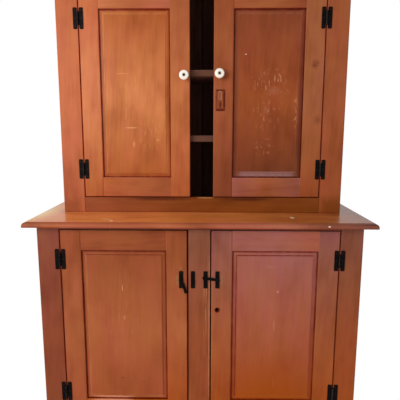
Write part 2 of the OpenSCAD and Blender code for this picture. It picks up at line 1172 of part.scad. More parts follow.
module upper_left_rails() {
    color(wood_light)
        on_upper_left()
            door_rails(upper_door);
}

module upper_left_panel() {
    color(wood_light)
        on_upper_left()
            door_panel(upper_door);
}

module upper_left_hinge_leaves() {
    on_upper_left()
        door_hinge_leaves(upper_door);
}

module upper_left_screws() {
    on_upper_left() {
        door_screws(upper_door);
        color(iron)
            at_knob(left_knob_h)
                knob_screw();
    }
}

module upper_left_knob() {
    color(porcelain)
        on_upper_left()
            at_knob(left_knob_h)
                knob();
}

// Upper right door

// The patch's pocket in the latch stile, and the patch itself when it is not grown.
module patch_block(grow, front) {
    right = upper_door[0] - patch_inset;
    mid = counter_h + patch_mid_h - upper_door_z;
    slab(right - patch_w - grow, right + grow, front, patch_t + grow,
        mid - patch_h / 2 - grow, mid + patch_h / 2 + grow);
}

// A keyhole slot with round ends, through the patch only.
module patch_keyhole() {
    mid_x = upper_door[0] - patch_inset - patch_w / 2 + keyhole_aside;
    mid_z = counter_h + patch_mid_h + keyhole_up - upper_door_z;
    half = keyhole_h / 2 - keyhole_w / 2;
    translate([mid_x, 0, mid_z])
        rotate([-90, 0, 0]) {
            for (z = [-half, half])
                translate([0, z, 0])
                    cylinder(h = patch_t + cut, r = keyhole_w / 2);
            translate([-keyhole_w / 2, -half, 0])
                cube([keyhole_w, 2 * half, patch_t + cut]);
        }
}

module upper_right_hinge_stile() {
    color(wood_dark)
        on_upper_right()
            door_hinge_stile(upper_door);
}

module upper_right_latch_stile() {
    color(wood_dark)
        on_upper_right()
            difference() {
                door_latch_stile(upper_door);
                at_knob(right_knob_h)
                    knob_pilot();
                patch_block(wood_gap, -cut);
            }
}

module upper_right_rails() {
    color(wood_dark)
        on_upper_right()
            door_rails(upper_door);
}

module upper_right_panel() {
    color(wood_dark)
        on_upper_right()
            door_panel(upper_door);
}

module upper_right_hinge_leaves() {
    on_upper_right()
        door_hinge_leaves(upper_door);
}

module upper_right_screws() {
    on_upper_right() {
        door_screws(upper_door);
        color(iron)
            at_knob(right_knob_h)
                knob_screw();
    }
}

module upper_right_knob() {
    color(porcelain)
        on_upper_right()
            at_knob(right_knob_h)
                knob();
}

module upper_right_lock_patch() {
    color(wood_mid)
        on_upper_right()
            difference() {
                patch_block(0, patch_sunk);
                patch_keyhole();
            }
}

// Base left door

module latch_pilots() {
    at_pivot()
        plate_screw_spots()
            pilot(latch_plate_t);
}

module base_left_hinge_stile() {
    color(wood_light)
        on_base_left()
            door_hinge_stile(base_door);
}

module base_left_latch_stile() {
    color(wood_light)
        difference() {
            on_base_left()
                door_latch_stile(base_door);
            latch_pilots();
        }
}

module base_left_rails() {
    color(wood_light)
        on_base_left()
            door_rails(base_door);
}

module base_left_panel() {
    color(wood_light)
        on_base_left()
            door_panel(base_door);
}

module base_left_hinge_leaves() {
    on_base_left()
        door_hinge_leaves(base_door);
}

module base_left_screws() {
    on_base_left()
        door_screws(base_door);
    color(iron)
        at_pivot()
            plate_screws();
}

module base_left_latch_plate() {
    color(iron)
        at_pivot()
            latch_plate();
}

module base_left_lever() {
    color(iron)
        at_pivot()
            rotate([0, left_lever_hang, 0])
                lever();
}

// Base right door

module base_right_hinge_stile() {
    color(wood_mid)
        on_base_right()
            door_hinge_stile(base_door);
}

module base_right_latch_stile() {
    color(wood_mid)
        difference() {
            on_base_right()
                door_latch_stile(base_door);
            flip_x()
                latch_pilots();
            on_base_right()
                translate([base_door[0] - knob_hole_inset, -cut, knob_hole_z - base_door_z])
                    rotate([-90, 0, 0])
                        cylinder(h = door_t + 2 * cut, d = knob_hole_d);
        }
}

module base_right_rails() {
    color(wood_mid)
        on_base_right()
            door_rails(base_door);
}

module base_right_panel() {
    color(wood_mid)
        on_base_right()
            door_panel(base_door);
}

module base_right_hinge_leaves() {
    on_base_right()
        door_hinge_leaves(base_door);
}

module base_right_screws() {
    on_base_right()
        door_screws(base_door);
    color(iron)
        flip_x()
            at_pivot()
                plate_screws();
}

module base_right_latch_plate() {
    color(iron)
        flip_x()
            at_pivot()
                latch_plate();
}

module base_right_lever() {
    color(iron)
        flip_x()
            at_pivot()
                rotate([0, -right_lever_lift, 0])
                    lever();
}

base_side_left();
base_side_right();
base_bottom_board();
base_shelf();
base_back_planks();
base_stile_left();
base_stile_right();
base_stile_centre();
base_top_rail();
base_bottom_rail();
counter_top();
upper_side_left();
upper_side_right();
upper_bottom_board();
upper_top_board();
upper_high_shelf();
upper_low_shelf();
upper_back_planks();
upper_stile_left();
upper_stile_right();
upper_frieze_rail();
upper_bottom_rail();
cornice_front();
cornice_returns();
hinge_case_leaves();
hinge_pins();
case_screws();
latch_keepers();
upper_left_hinge_stile();
upper_left_latch_stile();
upper_left_rails();
upper_left_panel();
upper_left_hinge_leaves();
upper_left_screws();
upper_left_knob();
upper_right_hinge_stile();
upper_right_latch_stile();
upper_right_rails();
upper_right_panel();
upper_right_hinge_leaves();
upper_right_screws();
upper_right_knob();
upper_right_lock_patch();
base_left_hinge_stile();
base_left_latch_stile();
base_left_rails();
base_left_panel();
base_left_hinge_leaves();
base_left_screws();
base_left_latch_plate();
base_left_lever();
base_right_hinge_stile();
base_right_latch_stile();
base_right_rails();
base_right_panel();
base_right_hinge_leaves();
base_right_screws();
base_right_latch_plate();
base_right_lever();
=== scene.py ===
"""Looks of the step-back hutch cupboard: stained pine boards with raised panels, black iron
hinges and latches, porcelain knobs, and a pale studio at the photograph's viewing angle.

Lengths are in metres unless a name ends in _mm. X runs left to right, Y from the front to
the back and Z up from the floor, as in the CAD frame.
"""

import json
import logging
import math
import random
from collections.abc import Callable, Iterable, Sequence
from dataclasses import dataclass, field
from enum import Enum
from typing import Any
import bmesh
import bpy
from bmesh.types import BMesh, BMEdge, BMVert
from bpy.types import Material, MeshPolygon, Node, NodeSocket, NodeTree, Object
from mathutils import Euler, Matrix, Vector
from mathutils.noise import noise

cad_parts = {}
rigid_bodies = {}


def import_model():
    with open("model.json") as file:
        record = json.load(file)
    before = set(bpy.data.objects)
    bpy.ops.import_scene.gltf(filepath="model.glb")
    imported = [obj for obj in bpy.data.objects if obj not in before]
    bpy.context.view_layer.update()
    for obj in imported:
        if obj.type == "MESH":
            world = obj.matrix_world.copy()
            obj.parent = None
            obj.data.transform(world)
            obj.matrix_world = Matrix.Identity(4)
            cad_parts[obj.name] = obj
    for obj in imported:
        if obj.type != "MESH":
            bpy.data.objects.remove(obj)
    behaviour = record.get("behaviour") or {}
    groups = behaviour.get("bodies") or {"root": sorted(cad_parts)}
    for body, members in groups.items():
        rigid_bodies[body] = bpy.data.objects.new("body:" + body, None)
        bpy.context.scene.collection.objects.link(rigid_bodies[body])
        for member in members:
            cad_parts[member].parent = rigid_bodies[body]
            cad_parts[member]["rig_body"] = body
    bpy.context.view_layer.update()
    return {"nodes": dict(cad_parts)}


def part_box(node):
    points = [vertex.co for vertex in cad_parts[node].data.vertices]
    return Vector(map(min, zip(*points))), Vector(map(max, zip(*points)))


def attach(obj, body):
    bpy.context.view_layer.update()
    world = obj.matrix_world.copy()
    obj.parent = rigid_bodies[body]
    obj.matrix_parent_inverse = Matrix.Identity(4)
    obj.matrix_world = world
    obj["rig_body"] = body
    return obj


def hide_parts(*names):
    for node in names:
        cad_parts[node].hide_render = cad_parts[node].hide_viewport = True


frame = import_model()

MM = 0.001

# Vertices nearer than this are taken to be at one place
SAME_PLACE = 1e-5
# Reach of a cutting plane, and of the merge at a spun shape's seam
TOUCHING = 1e-6
# Further than any place on the cupboard is from another
FAR_OFF = 1e3

# Sockets of the Mix node when it mixes colours
MIX_SHARE = 0
MIX_A = 6
MIX_B = 7
MIXED = 2

# Blender's ring pattern repeats every 2 pi / 20 units at scale 1
RING_PITCH = math.tau / 20

# Names of the attributes that boards carry to their materials
WOOD_PLACE = "wood_place"
STAIN = "stain"
ROOM_LOW = "room_low"
ROOM_HIGH = "room_high"
# Lightening, for wear and for painted light
WEAR_AND_LIGHT = "wear_and_light"
AGE = "age"
# Darkening, for grime and for painted shade
GRIME_AND_SHADE = "grime_and_shade"

# Ranges that a board's place in the wood is drawn from: across, in depth, along the grain
WOOD_SHIFTS = ((-0.03, 0.03), (-0.02, 0.02), (0, 20))
# Range of brightness that sawn boards have aged to
AGES = (0.72, 1.22)

# Y of a face's normal below which the face is taken to look to the front
FRONTWARD = -0.2
# Least X of a face's normal, to either side, at which the face is taken to look sideways
SIDEWAYS = 0.9
# Faces that meet at less than this angle in degrees become one
FLAT_DEG = 0.5
# Least angle in radians between the two faces at an edge of a board's block
BLOCK_EDGE_ANGLE = 1.0
# X of the normals on the left side of a hinge's barrel, from its side to its front
BARREL_LEFT = (-0.93, -0.25)
# Y of the normals beyond which a sawn board's face is its front edge, or a plank's its back
SHELF_FRONT = -0.3
PLANK_BACK = 0.2
# Smallest face of a hinge's barrel, in square metres; broken edges have smaller ones
BARREL_STRIP_AREA = 4e-6

Point = tuple[float, float, float]
Colour = tuple[float, float, float, float]
# What a socket may be fed by: a socket, a node's first output, a number or a colour
Source = NodeSocket | Node | float | Colour

WHITE = (1.0, 1.0, 1.0, 1.0)

log = logging.getLogger("hutch")


def linear(code: str) -> Colour:
    """Turns an sRGB hex colour to the linear values that Blender works with.

    Args:
        code: Colour as "#RRGGBB".

    Returns:
        Red, green, blue and an alpha of 1.
    """
    shares = [int(code[i:i + 2], 16) / 255 for i in (1, 3, 5)]
    red, green, blue = (
        s / 12.92 if s <= 0.04045 else ((s + 0.055) / 1.055) ** 2.4 for s in shares
    )
    return red, green, blue, 1.0


def add_node(tree: NodeTree, kind: str, inputs: dict[int | str, Any] | None = None,
             stops: Sequence[tuple[float, Colour]] = (), **settings: Any) -> Node:
    """Adds one shader node with its settings and its incoming links.

    Args:
        tree: Node tree that gets the node.
        kind: Blender's class name of the node, without its "ShaderNode".
        inputs: Values of input sockets, or what they are linked from: a socket, or a node
            for its first output.
        stops: Places and linear colours of a colour ramp.
        settings: Values of the node's own properties.

    Returns:
        The new node.
    """
    node = tree.nodes.new(f"ShaderNode{kind}")
    for name, value in settings.items():
        setattr(node, name, value)
    for _ in stops[2:]:
        node.color_ramp.elements.new(1.0)
    for index, (place, colour) in enumerate(stops):
        element = node.color_ramp.elements[index]
        element.position, element.color = place, colour
    for name, value in (inputs or {}).items():
        source = value.outputs[0] if isinstance(value, Node) else value
        if isinstance(source, NodeSocket):
            tree.links.new(source, node.inputs[name])
        else:
            node.inputs[name].default_value = source
    return node


def new_material(name: str) -> tuple[Material, NodeTree]:
    """Starts a node material.

    Args:
        name: Name of the material.

    Returns:
        The material and its empty tree.
    """
    material = bpy.data.materials.new(name)
    material.use_nodes = True
    material.node_tree.nodes.clear()
    return material, material.node_tree


def weighted_sum(tree: NodeTree, parts: Iterable[tuple[Source, float]],
                 base: float = 0.0) -> Source:
    """Adds up patterns, each times its weight.

    Args:
        tree: Node tree to add to.
        parts: Patterns with their weights.
        base: Constant that the sum starts from.

    Returns:
        The sum.
    """
    total = base
    for pattern, weight in parts:
        total = add_node(tree, "Math", {0: pattern, 1: weight, 2: total},
                         operation="MULTIPLY_ADD")
    return total


def varied(tree: NodeTree, middle: float, parts: Sequence[tuple[Source, float]]) -> Source:
    """Varies a number by patterns that lie around 0.5.

    Args:
        tree: Node tree to add to.
        middle: The number.
        parts: Patterns with their weights.

    Returns:
        Values around the number.
    """
    return weighted_sum(tree, parts, middle - sum(weight for _, weight in parts) / 2)


def layered(tree: NodeTree, colour: Source, layers: Iterable[tuple[Source, Source]],
            blend: str = "MIX") -> Source:
    """Lays tints over a colour, one after the other.

    Args:
        tree: Node tree to add to.
        colour: Colour under the tints.
        layers: Share and colour of each tint.
        blend: How a tint is mixed with what is under it.

    Returns:
        The colour with its tints.
    """
    for share, tint in layers:
        colour = add_node(tree, "Mix", {MIX_SHARE: share, MIX_A: colour, MIX_B: tint},
                          data_type="RGBA", blend_type=blend).outputs[MIXED]
    return colour


@dataclass(frozen=True)
class Spots:
    """Noise whose spots have a real width across the grain and a real length along it.

    Its detail is the number of octaves of finer noise, and its start moves the pattern, so
    that two of them differ.
    """

    across_mm: float
    along_mm: float
    detail: float = 3.0
    start: float = 0.0
    roughness: float = 0.55

    def drawn(self, tree: NodeTree, place: NodeSocket) -> NodeSocket:
        """Draws the spots.

        Args:
            tree: Node tree to add to.
            place: Coordinates in metres whose Z runs along the grain.

        Returns:
            Socket with values around 0.5.
        """
        across, along = 1 / (self.across_mm * MM), 1 / (self.along_mm * MM)
        spread = add_node(tree, "Mapping", {
            "Vector": place, "Location": (self.start,) * 3, "Scale": (across, across, along),
        })
        return add_node(tree, "TexNoise", {
            "Vector": spread, "Scale": 1.0, "Detail": self.detail, "Roughness": self.roughness,
        }).outputs["Fac"]


def side_of(across: float, up: float) -> str:
    """Names the side of a front that a direction in its plane points to.

    Args:
        across: The direction's X.
        up: The direction's Z.

    Returns:
        The side, as Easing's fields name it.
    """
    if abs(across) > abs(up):
        return "left" if across < 0 else "right"
    return "bottom" if up < 0 else "top"


class Grain(Enum):
    """Axis that a board's grain runs along."""

    UP = 2
    ACROSS = 0
    DEEP = 1

    def turned(self, point: Vector) -> Vector:
        """Swaps the axes so that the grain runs along Z."""
        order = {Grain.UP: (0, 1, 2), Grain.ACROSS: (2, 1, 0), Grain.DEEP: (0, 2, 1)}
        return Vector([point[i] for i in order[self]])


class Side(Enum):
    """Side of the cupboard that a door hangs on."""

    LEFT = "left"
    RIGHT = "right"


class Stain(Enum):
    """Shades that the old red-brown stain has turned to. Besides the stain, the boards' shades
    hold painted light and shade: lighter to the upper left and darker to the right and lower
    down, as the light falls.
    """

    HONEY = "#C07043"
    COPPER = "#B3643B"
    AMBER = "#AB5A2F"
    RUSSET = "#A05531"
    CHESTNUT = "#98502D"
    TILE = "#944823"
    BRICK = "#8A4525"
    UMBER = "#7D3B22"
    PLUM = "#773C2B"
    RUST = "#9B4508"
    WALNUT = "#793C0F"
    CLAY = "#A2553A"
    ROSE = "#98574B"
    DUN = "#7F4A38"
    SMOKE = "#5B382B"
    SIENNA = "#9F5122"
    BARK = "#6A3219"
    FAWN = "#9B5835"
    CORAL = "#B45C35"
    MAUVE = "#884F45"


@dataclass(frozen=True)
class Tone:
    """Stain of one board at the start, middle and end of its grain, or all along it."""

    start: Stain
    middle: Stain | None = None
    end: Stain | None = None

    def at(self, share: float) -> list[float]:
        """Finds the stain's colour at one place.

        Args:
            share: Place as a share of the board's length.

        Returns:
            Linear colour.
        """
        middle, end = self.middle or self.start, self.end or self.start
        first, second = (self.start, middle) if share < 0.5 else (middle, end)
        part = min(max(share * 2 - (share >= 0.5), 0.0), 1.0)
        return [a + (b - a) * part
                for a, b in zip(linear(first.value), linear(second.value))]


@dataclass(frozen=True)
class Easing:
    """Widths in mm by which the edges of a board's front are rounded, and its other edges."""

    left: float = 1.5
    right: float = 1.5
    bottom: float = 1.5
    top: float = 1.5
    back: float = 0.6
    # Per side of the front: above 0 lighter, for wear and painted light, below 0 darker, for
    # grime and painted shade
    wear_and_light: dict[str, float] = field(default_factory=dict)

    def width(self, edge: BMEdge, low: Vector, high: Vector) -> float:
        """Finds how far an edge of the board's block is rounded.

        Args:
            edge: Edge to look at.
            low: Lowest corner of the block.
            high: Highest corner of the block.

        Returns:
            Width in mm, or 0 where the edge isn't one of the block's own.
        """
        held = {
            (axis, name)
            for axis in range(3)
            for name, bound in (("low", low[axis]), ("high", high[axis]))
            if all(abs(v.co[axis] - bound) < SAME_PLACE for v in edge.verts)
        }
        if len(held) != 2 or not edge.is_manifold or edge.calc_face_angle() < BLOCK_EDGE_ANGLE:
            return 0.0
        if (1, "low") not in held:
            return self.back
        sides = {(0, "low"): self.left, (0, "high"): self.right,
                 (2, "low"): self.bottom, (2, "high"): self.top}
        return next((sides[s] for s in held if s in sides), 0.0)

    def dress(self, mesh: BMesh) -> None:
        """Sets how much lighter each rounded edge of the front is, for wear and painted light, or
        below 0 how much darker, for grime and painted shade.

        Args:
            mesh: Board with its edges rounded.
        """
        wear_and_light = mesh.faces.layers.float.get(WEAR_AND_LIGHT)
        grime_and_shade = mesh.faces.layers.float.get(GRIME_AND_SHADE)
        for face in mesh.faces:
            x, y, z = face.normal
            if face[wear_and_light] and y <= FRONTWARD:
                value = self.wear_and_light.get(side_of(x, z), 1.0)
                face[wear_and_light], face[grime_and_shade] = max(value, 0.0), max(-value, 0.0)


class Shape(Enum):
    """Outline of a mark."""

    ROUND = "round"
    BLOCK = "block"


@dataclass(frozen=True)
class Mark:
    """A knot, a stain or a rubbed spot on a front, with a soft, ragged rim."""

    x_mm: float
    z_mm: float
    half_w_mm: float
    half_h_mm: float
    tint: str
    strength: float = 0.8
    soft: float = 0.5
    ragged: float = 0.25
    shape: Shape = Shape.ROUND
    y_mm: float = 0.0
    half_d_mm: float = 1e6
    rag_mm: tuple[float, float] = (9, 14)

    def away(self, tree: NodeTree, place: NodeSocket) -> Source:
        """Measures how far out of the mark a place lies.

        Args:
            tree: Node tree to add to.
            place: Object coordinates.

        Returns:
            Distance that is 0 in the middle and 1 at the mark's outline.
        """
        nearby = add_node(tree, "Mapping", {
            "Vector": place,
            "Location": (self.x_mm * MM, self.y_mm * MM, self.z_mm * MM),
            "Scale": (self.half_w_mm * MM, self.half_d_mm * MM, self.half_h_mm * MM),
        }, vector_type="TEXTURE")
        if self.shape is Shape.ROUND:
            return add_node(tree, "VectorMath", {0: nearby}, operation="LENGTH").outputs["Value"]
        positive = add_node(tree, "VectorMath", {0: nearby}, operation="ABSOLUTE")
        x, _, z = add_node(tree, "SeparateXYZ", {0: positive}).outputs
        return add_node(tree, "Math", {0: x, 1: z}, operation="MAXIMUM")

    def share(self, tree: NodeTree, place: NodeSocket) -> Source:
        """Draws how strongly the mark's tint covers the wood.

        Args:
            tree: Node tree to add to.
            place: Object coordinates.

        Returns:
            Share of the tint, from 0 outside the mark.
        """
        rough = Spots(*self.rag_mm, start=self.x_mm).drawn(tree, place)
        rim = weighted_sum(tree, [(self.away(tree, place), 1.0), (rough, self.ragged * 2)],
                           -self.ragged)
        return add_node(tree, "MapRange", {
            "Value": rim, "From Min": 1.0, "From Max": 1 - self.soft, "To Max": self.strength,
        }, interpolation_type="SMOOTHSTEP")


@dataclass(frozen=True)
class Scratches(Mark):
    """Field of upright scratches, drawn a few mm wide so that they show from the camera."""

    wide_mm: float = 4.5
    long_mm: float = 60.0
    scarce: float = 0.58
    edge: float = 0.12

    def share(self, tree: NodeTree, place: NodeSocket) -> Source:
        """Draws how strongly the scratches' tint covers the wood.

        Args:
            tree: Node tree to add to.
            place: Object coordinates.

        Returns:
            Share of the tint, from 0 outside the scratches.
        """
        line = Spots(self.wide_mm, self.long_mm, start=self.x_mm).drawn(tree, place)
        room = add_node(tree, "MapRange", {
            "Value": self.away(tree, place), "From Min": 1.0, "From Max": 1 - self.soft,
        }, interpolation_type="SMOOTHSTEP")
        thin = add_node(tree, "MapRange", {
            "Value": line, "From Min": self.scarce, "From Max": self.scarce + self.edge,
            "To Max": self.strength,
        })
        return add_node(tree, "Math", {0: room, 1: thin}, operation="MULTIPLY")


@dataclass(frozen=True)
class StainedPine:
    """Old hand-planed pine under red-brown stain and wax.

    It gives the eye broad soft bands and clouds that drift between yellow and pink, faint
    rings that widen into arches, edges rubbed paler and a satin sheen. It also paints light
    and shade: lighter left and top front edges, darker right and bottom ones, and a darkening
    near every edge that is partly dirt and partly painted shade.
    """

    name: str = "stained_waxed_pine"
    cloud: Spots = Spots(85, 170, 2.0)
    streak: Spots = Spots(24, 330, start=3.7)
    grain: Spots = Spots(2.6, 120, start=8.1)
    fleck: Spots = Spots(1.1, 16, 1.0, 5.3)
    drift: Spots = Spots(48, 190, 1.0, 6.4)
    patches: Spots = Spots(22, 60, start=1.3)
    # Weights of clouds, streaks, grain, flecks and rings
    shade_weights: tuple[float, ...] = (0.50, 0.22, 0.05, 0.03, -0.04)
    relief_weights: tuple[float, ...] = (0.55, 0.16, 0.05, 0.035, -0.03)
    ring_mm: float = 8.5
    heart: Point = (0.02, 0.07, 0.0)
    heart_lean_deg: Point = (2.2, 0.8, 0.0)
    heart_bend: Point = (0.05, 0.03, 0.0)
    arch_stretch: float = 9.0
    gain: Point = (1.0, 1.0, 1.0)
    darker: Point = (0.76, 0.67, 0.57)
    lighter: Point = (1.18, 1.27, 1.36)
    pink: Point = (1.01, 0.965, 1.06)
    yellow: Point = (0.99, 1.035, 0.93)
    # Tints that lighten, for wear and painted light, and darken, for dirt and painted shade
    worn_and_lit: Point = (1.28, 1.68, 2.15)
    dirt_and_shade_tint: Point = (0.5, 0.16, 0.05)
    # Weights of the darkening near every edge, partly dirt and partly painted shade, of the
    # painted shade on the front's right and bottom edges, and of the painted light on its left
    # and top edges, which takes darkening off and then lightens
    corner_dirt_and_shade: float = 0.2
    shaded_darkening: float = 0.35
    lit_less_shade: float = 0.2
    lit: float = 0.35
    lit_mm: float = 4.0
    shaded_mm: float = 5.0
    corner_mm: float = 7.0
    front_mm: float = 4.0
    rim_mm: float = 1.0
    roughness: float = 0.40
    coat: float = 0.05
    coat_roughness: float = 0.3
    marks: tuple[Mark, ...] = ()
    marks_deep_mm: float = 8.0
    marks_fade_mm: float = 2.0

    def material(self) -> Material:
        """Builds the material.

        Returns:
            The material.
        """
        material, tree = new_material(self.name)
        wood = add_node(tree, "Attribute", attribute_name=WOOD_PLACE).outputs["Vector"]
        cloud, streak, grain, fleck, drift = (
            spots.drawn(tree, wood)
            for spots in (self.cloud, self.streak, self.grain, self.fleck, self.drift)
        )
        patterns = (cloud, streak, grain, fleck, self.rings(tree, wood, streak))
        shade = varied(tree, 0.5, list(zip(patterns, self.shade_weights)))
        height = weighted_sum(tree, zip(patterns, self.relief_weights))
        planed, waxed = (
            add_node(tree, "Bump", {"Height": relief, "Strength": 1.0, "Distance": MM})
            for relief in (height, weighted_sum(tree, [(cloud, 0.5)]))
        )
        dull = varied(tree, self.roughness, [(streak, 0.16), (grain, 0.12)])
        colour = self.rubbed_and_lit(tree, wood, self.marked(tree, self.stained(tree, shade, drift)))
        shader = add_node(tree, "BsdfPrincipled", {
            "Base Color": colour, "Roughness": dull, "IOR": 1.5, "Specular IOR Level": 0.08,
            "Coat Weight": self.coat, "Coat Roughness": self.coat_roughness,
            "Normal": planed, "Coat Normal": waxed,
        })
        add_node(tree, "OutputMaterial", {"Surface": shader})
        return material

    def rings(self, tree: NodeTree, wood: NodeSocket, bent: NodeSocket) -> NodeSocket:
        """Draws the yearly rings about a leaning heart line behind the board.

        Args:
            tree: Node tree to add to.
            wood: Coordinates along the grain.
            bent: Noise that bends the heart line.

        Returns:
            Socket that rises to 1 at the dark late wood of each ring.
        """
        bend = add_node(tree, "VectorMath", {0: self.heart_bend, "Scale": bent},
                        operation="SCALE")
        bowed = add_node(tree, "VectorMath", {0: wood, 1: bend}, operation="ADD")
        heart = add_node(tree, "Mapping", {
            "Vector": bowed, "Location": self.heart, "Scale": (1, 1, self.arch_stretch),
            "Rotation": tuple(math.radians(a) for a in self.heart_lean_deg),
        }, vector_type="TEXTURE")
        return add_node(tree, "TexWave", {
            "Vector": heart, "Scale": RING_PITCH / (self.ring_mm * MM), "Distortion": 1.5,
            "Detail": 2.0, "Detail Scale": 0.6,
        }, wave_type="RINGS", rings_direction="Z", wave_profile="SAW").outputs["Fac"]

    def stained(self, tree: NodeTree, shade: Source, drift: Source) -> Source:
        """Lightens and darkens the board's own stain by the pattern of the wood.

        Args:
            tree: Node tree to add to.
            shade: Pattern of the wood, around 0.5.
            drift: Pattern that shifts the hue, around 0.5.

        Returns:
            The colour.
        """
        shades = ((0.36, self.darker), (0.5, (1.0, 1.0, 1.0)), (0.66, self.lighter))
        factor = add_node(tree, "ValToRGB", {"Fac": shade}, [
            (place, (*(a * b for a, b in zip(tint, self.gain)), 1.0)) for place, tint in shades
        ])
        hue = add_node(tree, "ValToRGB", {"Fac": drift},
                       [(0.36, (*self.pink, 1.0)), (0.64, (*self.yellow, 1.0))])
        stain = add_node(tree, "Attribute", attribute_name=STAIN).outputs["Color"]
        return layered(tree, stain, [(1.0, factor), (1.0, hue)], "MULTIPLY")

    def marked(self, tree: NodeTree, colour: Source) -> Source:
        """Lays the marks over the stain, as deep as they reach behind the board's front.

        Args:
            tree: Node tree to add to.
            colour: Colour of the stain.

        Returns:
            Colour with the marks.
        """
        place = add_node(tree, "TexCoord").outputs["Object"]
        room = add_node(tree, "Attribute", attribute_name=ROOM_LOW).outputs["Vector"]
        in_front = add_node(tree, "MapRange", {
            "Value": add_node(tree, "SeparateXYZ", {0: room}).outputs["Y"],
            "From Min": (self.marks_deep_mm + self.marks_fade_mm) * MM,
            "From Max": self.marks_deep_mm * MM,
        }, interpolation_type="SMOOTHSTEP")
        tints = [(mark.share(tree, place), linear(mark.tint)) for mark in self.marks]
        return layered(tree, colour, [(in_front, layered(tree, colour, tints))])

    def rubbed_and_lit(self, tree: NodeTree, wood: NodeSocket, colour: Source) -> Source:
        """Rubs the eased edges paler, darkens corners and joints with dirt and painted shade, and
        paints the front's left and top edges lighter and its right and bottom edges darker.

        Args:
            tree: Node tree to add to.
            wood: Coordinates along the grain.
            colour: Colour of the wood.

        Returns:
            Colour with wear, dirt and painted light and shade.
        """
        low, high = (
            add_node(tree, "Attribute", attribute_name=name).outputs["Vector"]
            for name in (ROOM_LOW, ROOM_HIGH)
        )
        from_left, from_front, from_foot = add_node(tree, "SeparateXYZ", {0: low}).outputs
        from_right, _, from_top = add_node(tree, "SeparateXYZ", {0: high}).outputs
        rooms = add_node(tree, "VectorMath", {0: low, 1: high}, operation="MINIMUM")
        x, y, z = add_node(tree, "SeparateXYZ", {0: rooms}).outputs
        lit_room, shaded_room, small = (
            add_node(tree, "Math", {0: first, 1: second}, operation="MINIMUM")
            for first, second in ((from_left, from_top), (from_right, from_foot), (x, y))
        )
        # The room to a surface's nearest edge is the middle one of its three rooms
        large = add_node(tree, "Math", {0: x, 1: y}, operation="MAXIMUM")
        rest = add_node(tree, "Math", {0: large, 1: z}, operation="MINIMUM")
        edge_room = add_node(tree, "Math", {0: small, 1: rest}, operation="MAXIMUM")
        # Painted light on the front's left and top edges and painted shade on its right and
        # bottom edges, as light falls from the upper left; the corner share darkens every edge,
        # partly as dirt and partly as painted shade
        front, lit, shaded, corner = (
            add_node(tree, "MapRange", {
                "Value": room, "From Min": far_mm * MM, "From Max": close_mm * MM,
            }, interpolation_type="SMOOTHSTEP")
            for room, far_mm, close_mm in (
                (from_front, self.front_mm, self.rim_mm), (lit_room, self.lit_mm, self.rim_mm),
                (shaded_room, self.shaded_mm, self.rim_mm), (edge_room, self.corner_mm, 0.0),
            )
        )
        lit, shaded = (add_node(tree, "Math", {0: front, 1: share}, operation="MULTIPLY")
                       for share in (lit, shaded))
        grime_and_shade, wear_and_light = (add_node(tree, "Attribute", attribute_name=name).outputs["Fac"]
                       for name in (GRIME_AND_SHADE, WEAR_AND_LIGHT))
        dirt_and_shade = weighted_sum(tree, [(corner, self.corner_dirt_and_shade), (shaded, self.shaded_darkening),
                                    (lit, -self.lit_less_shade), (grime_and_shade, 1.0)])
        worn_and_lit = weighted_sum(tree, [(wear_and_light, 1.0), (lit, self.lit)])
        patchy = self.patches.drawn(tree, wood)
        bare = add_node(tree, "MapRange", {
            "Value": patchy, "From Min": 0.32, "From Max": 0.62, "To Min": 0.25, "To Max": 1.0,
        })
        soiled_and_shaded = weighted_sum(tree, [(patchy, 1.6)], 0.1)
        tints = [
            (add_node(tree, "Math", {0: amount, 1: where}, operation="MULTIPLY",
                      use_clamp=True), (*tint, 1.0))
            for amount, where, tint in ((dirt_and_shade, soiled_and_shaded, self.dirt_and_shade_tint), (worn_and_lit, bare, self.worn_and_lit))
        ]
        return layered(tree, colour, tints, "MULTIPLY")


# Broad patterns of boards that are evener than the rest
EVEN = {"darker": (0.86, 0.8, 0.73), "lighter": (1.1, 1.15, 1.2)}
# Dark red of the lock patch's rims, painted as shade in its recess
PATCH_RIM = "#541B06"

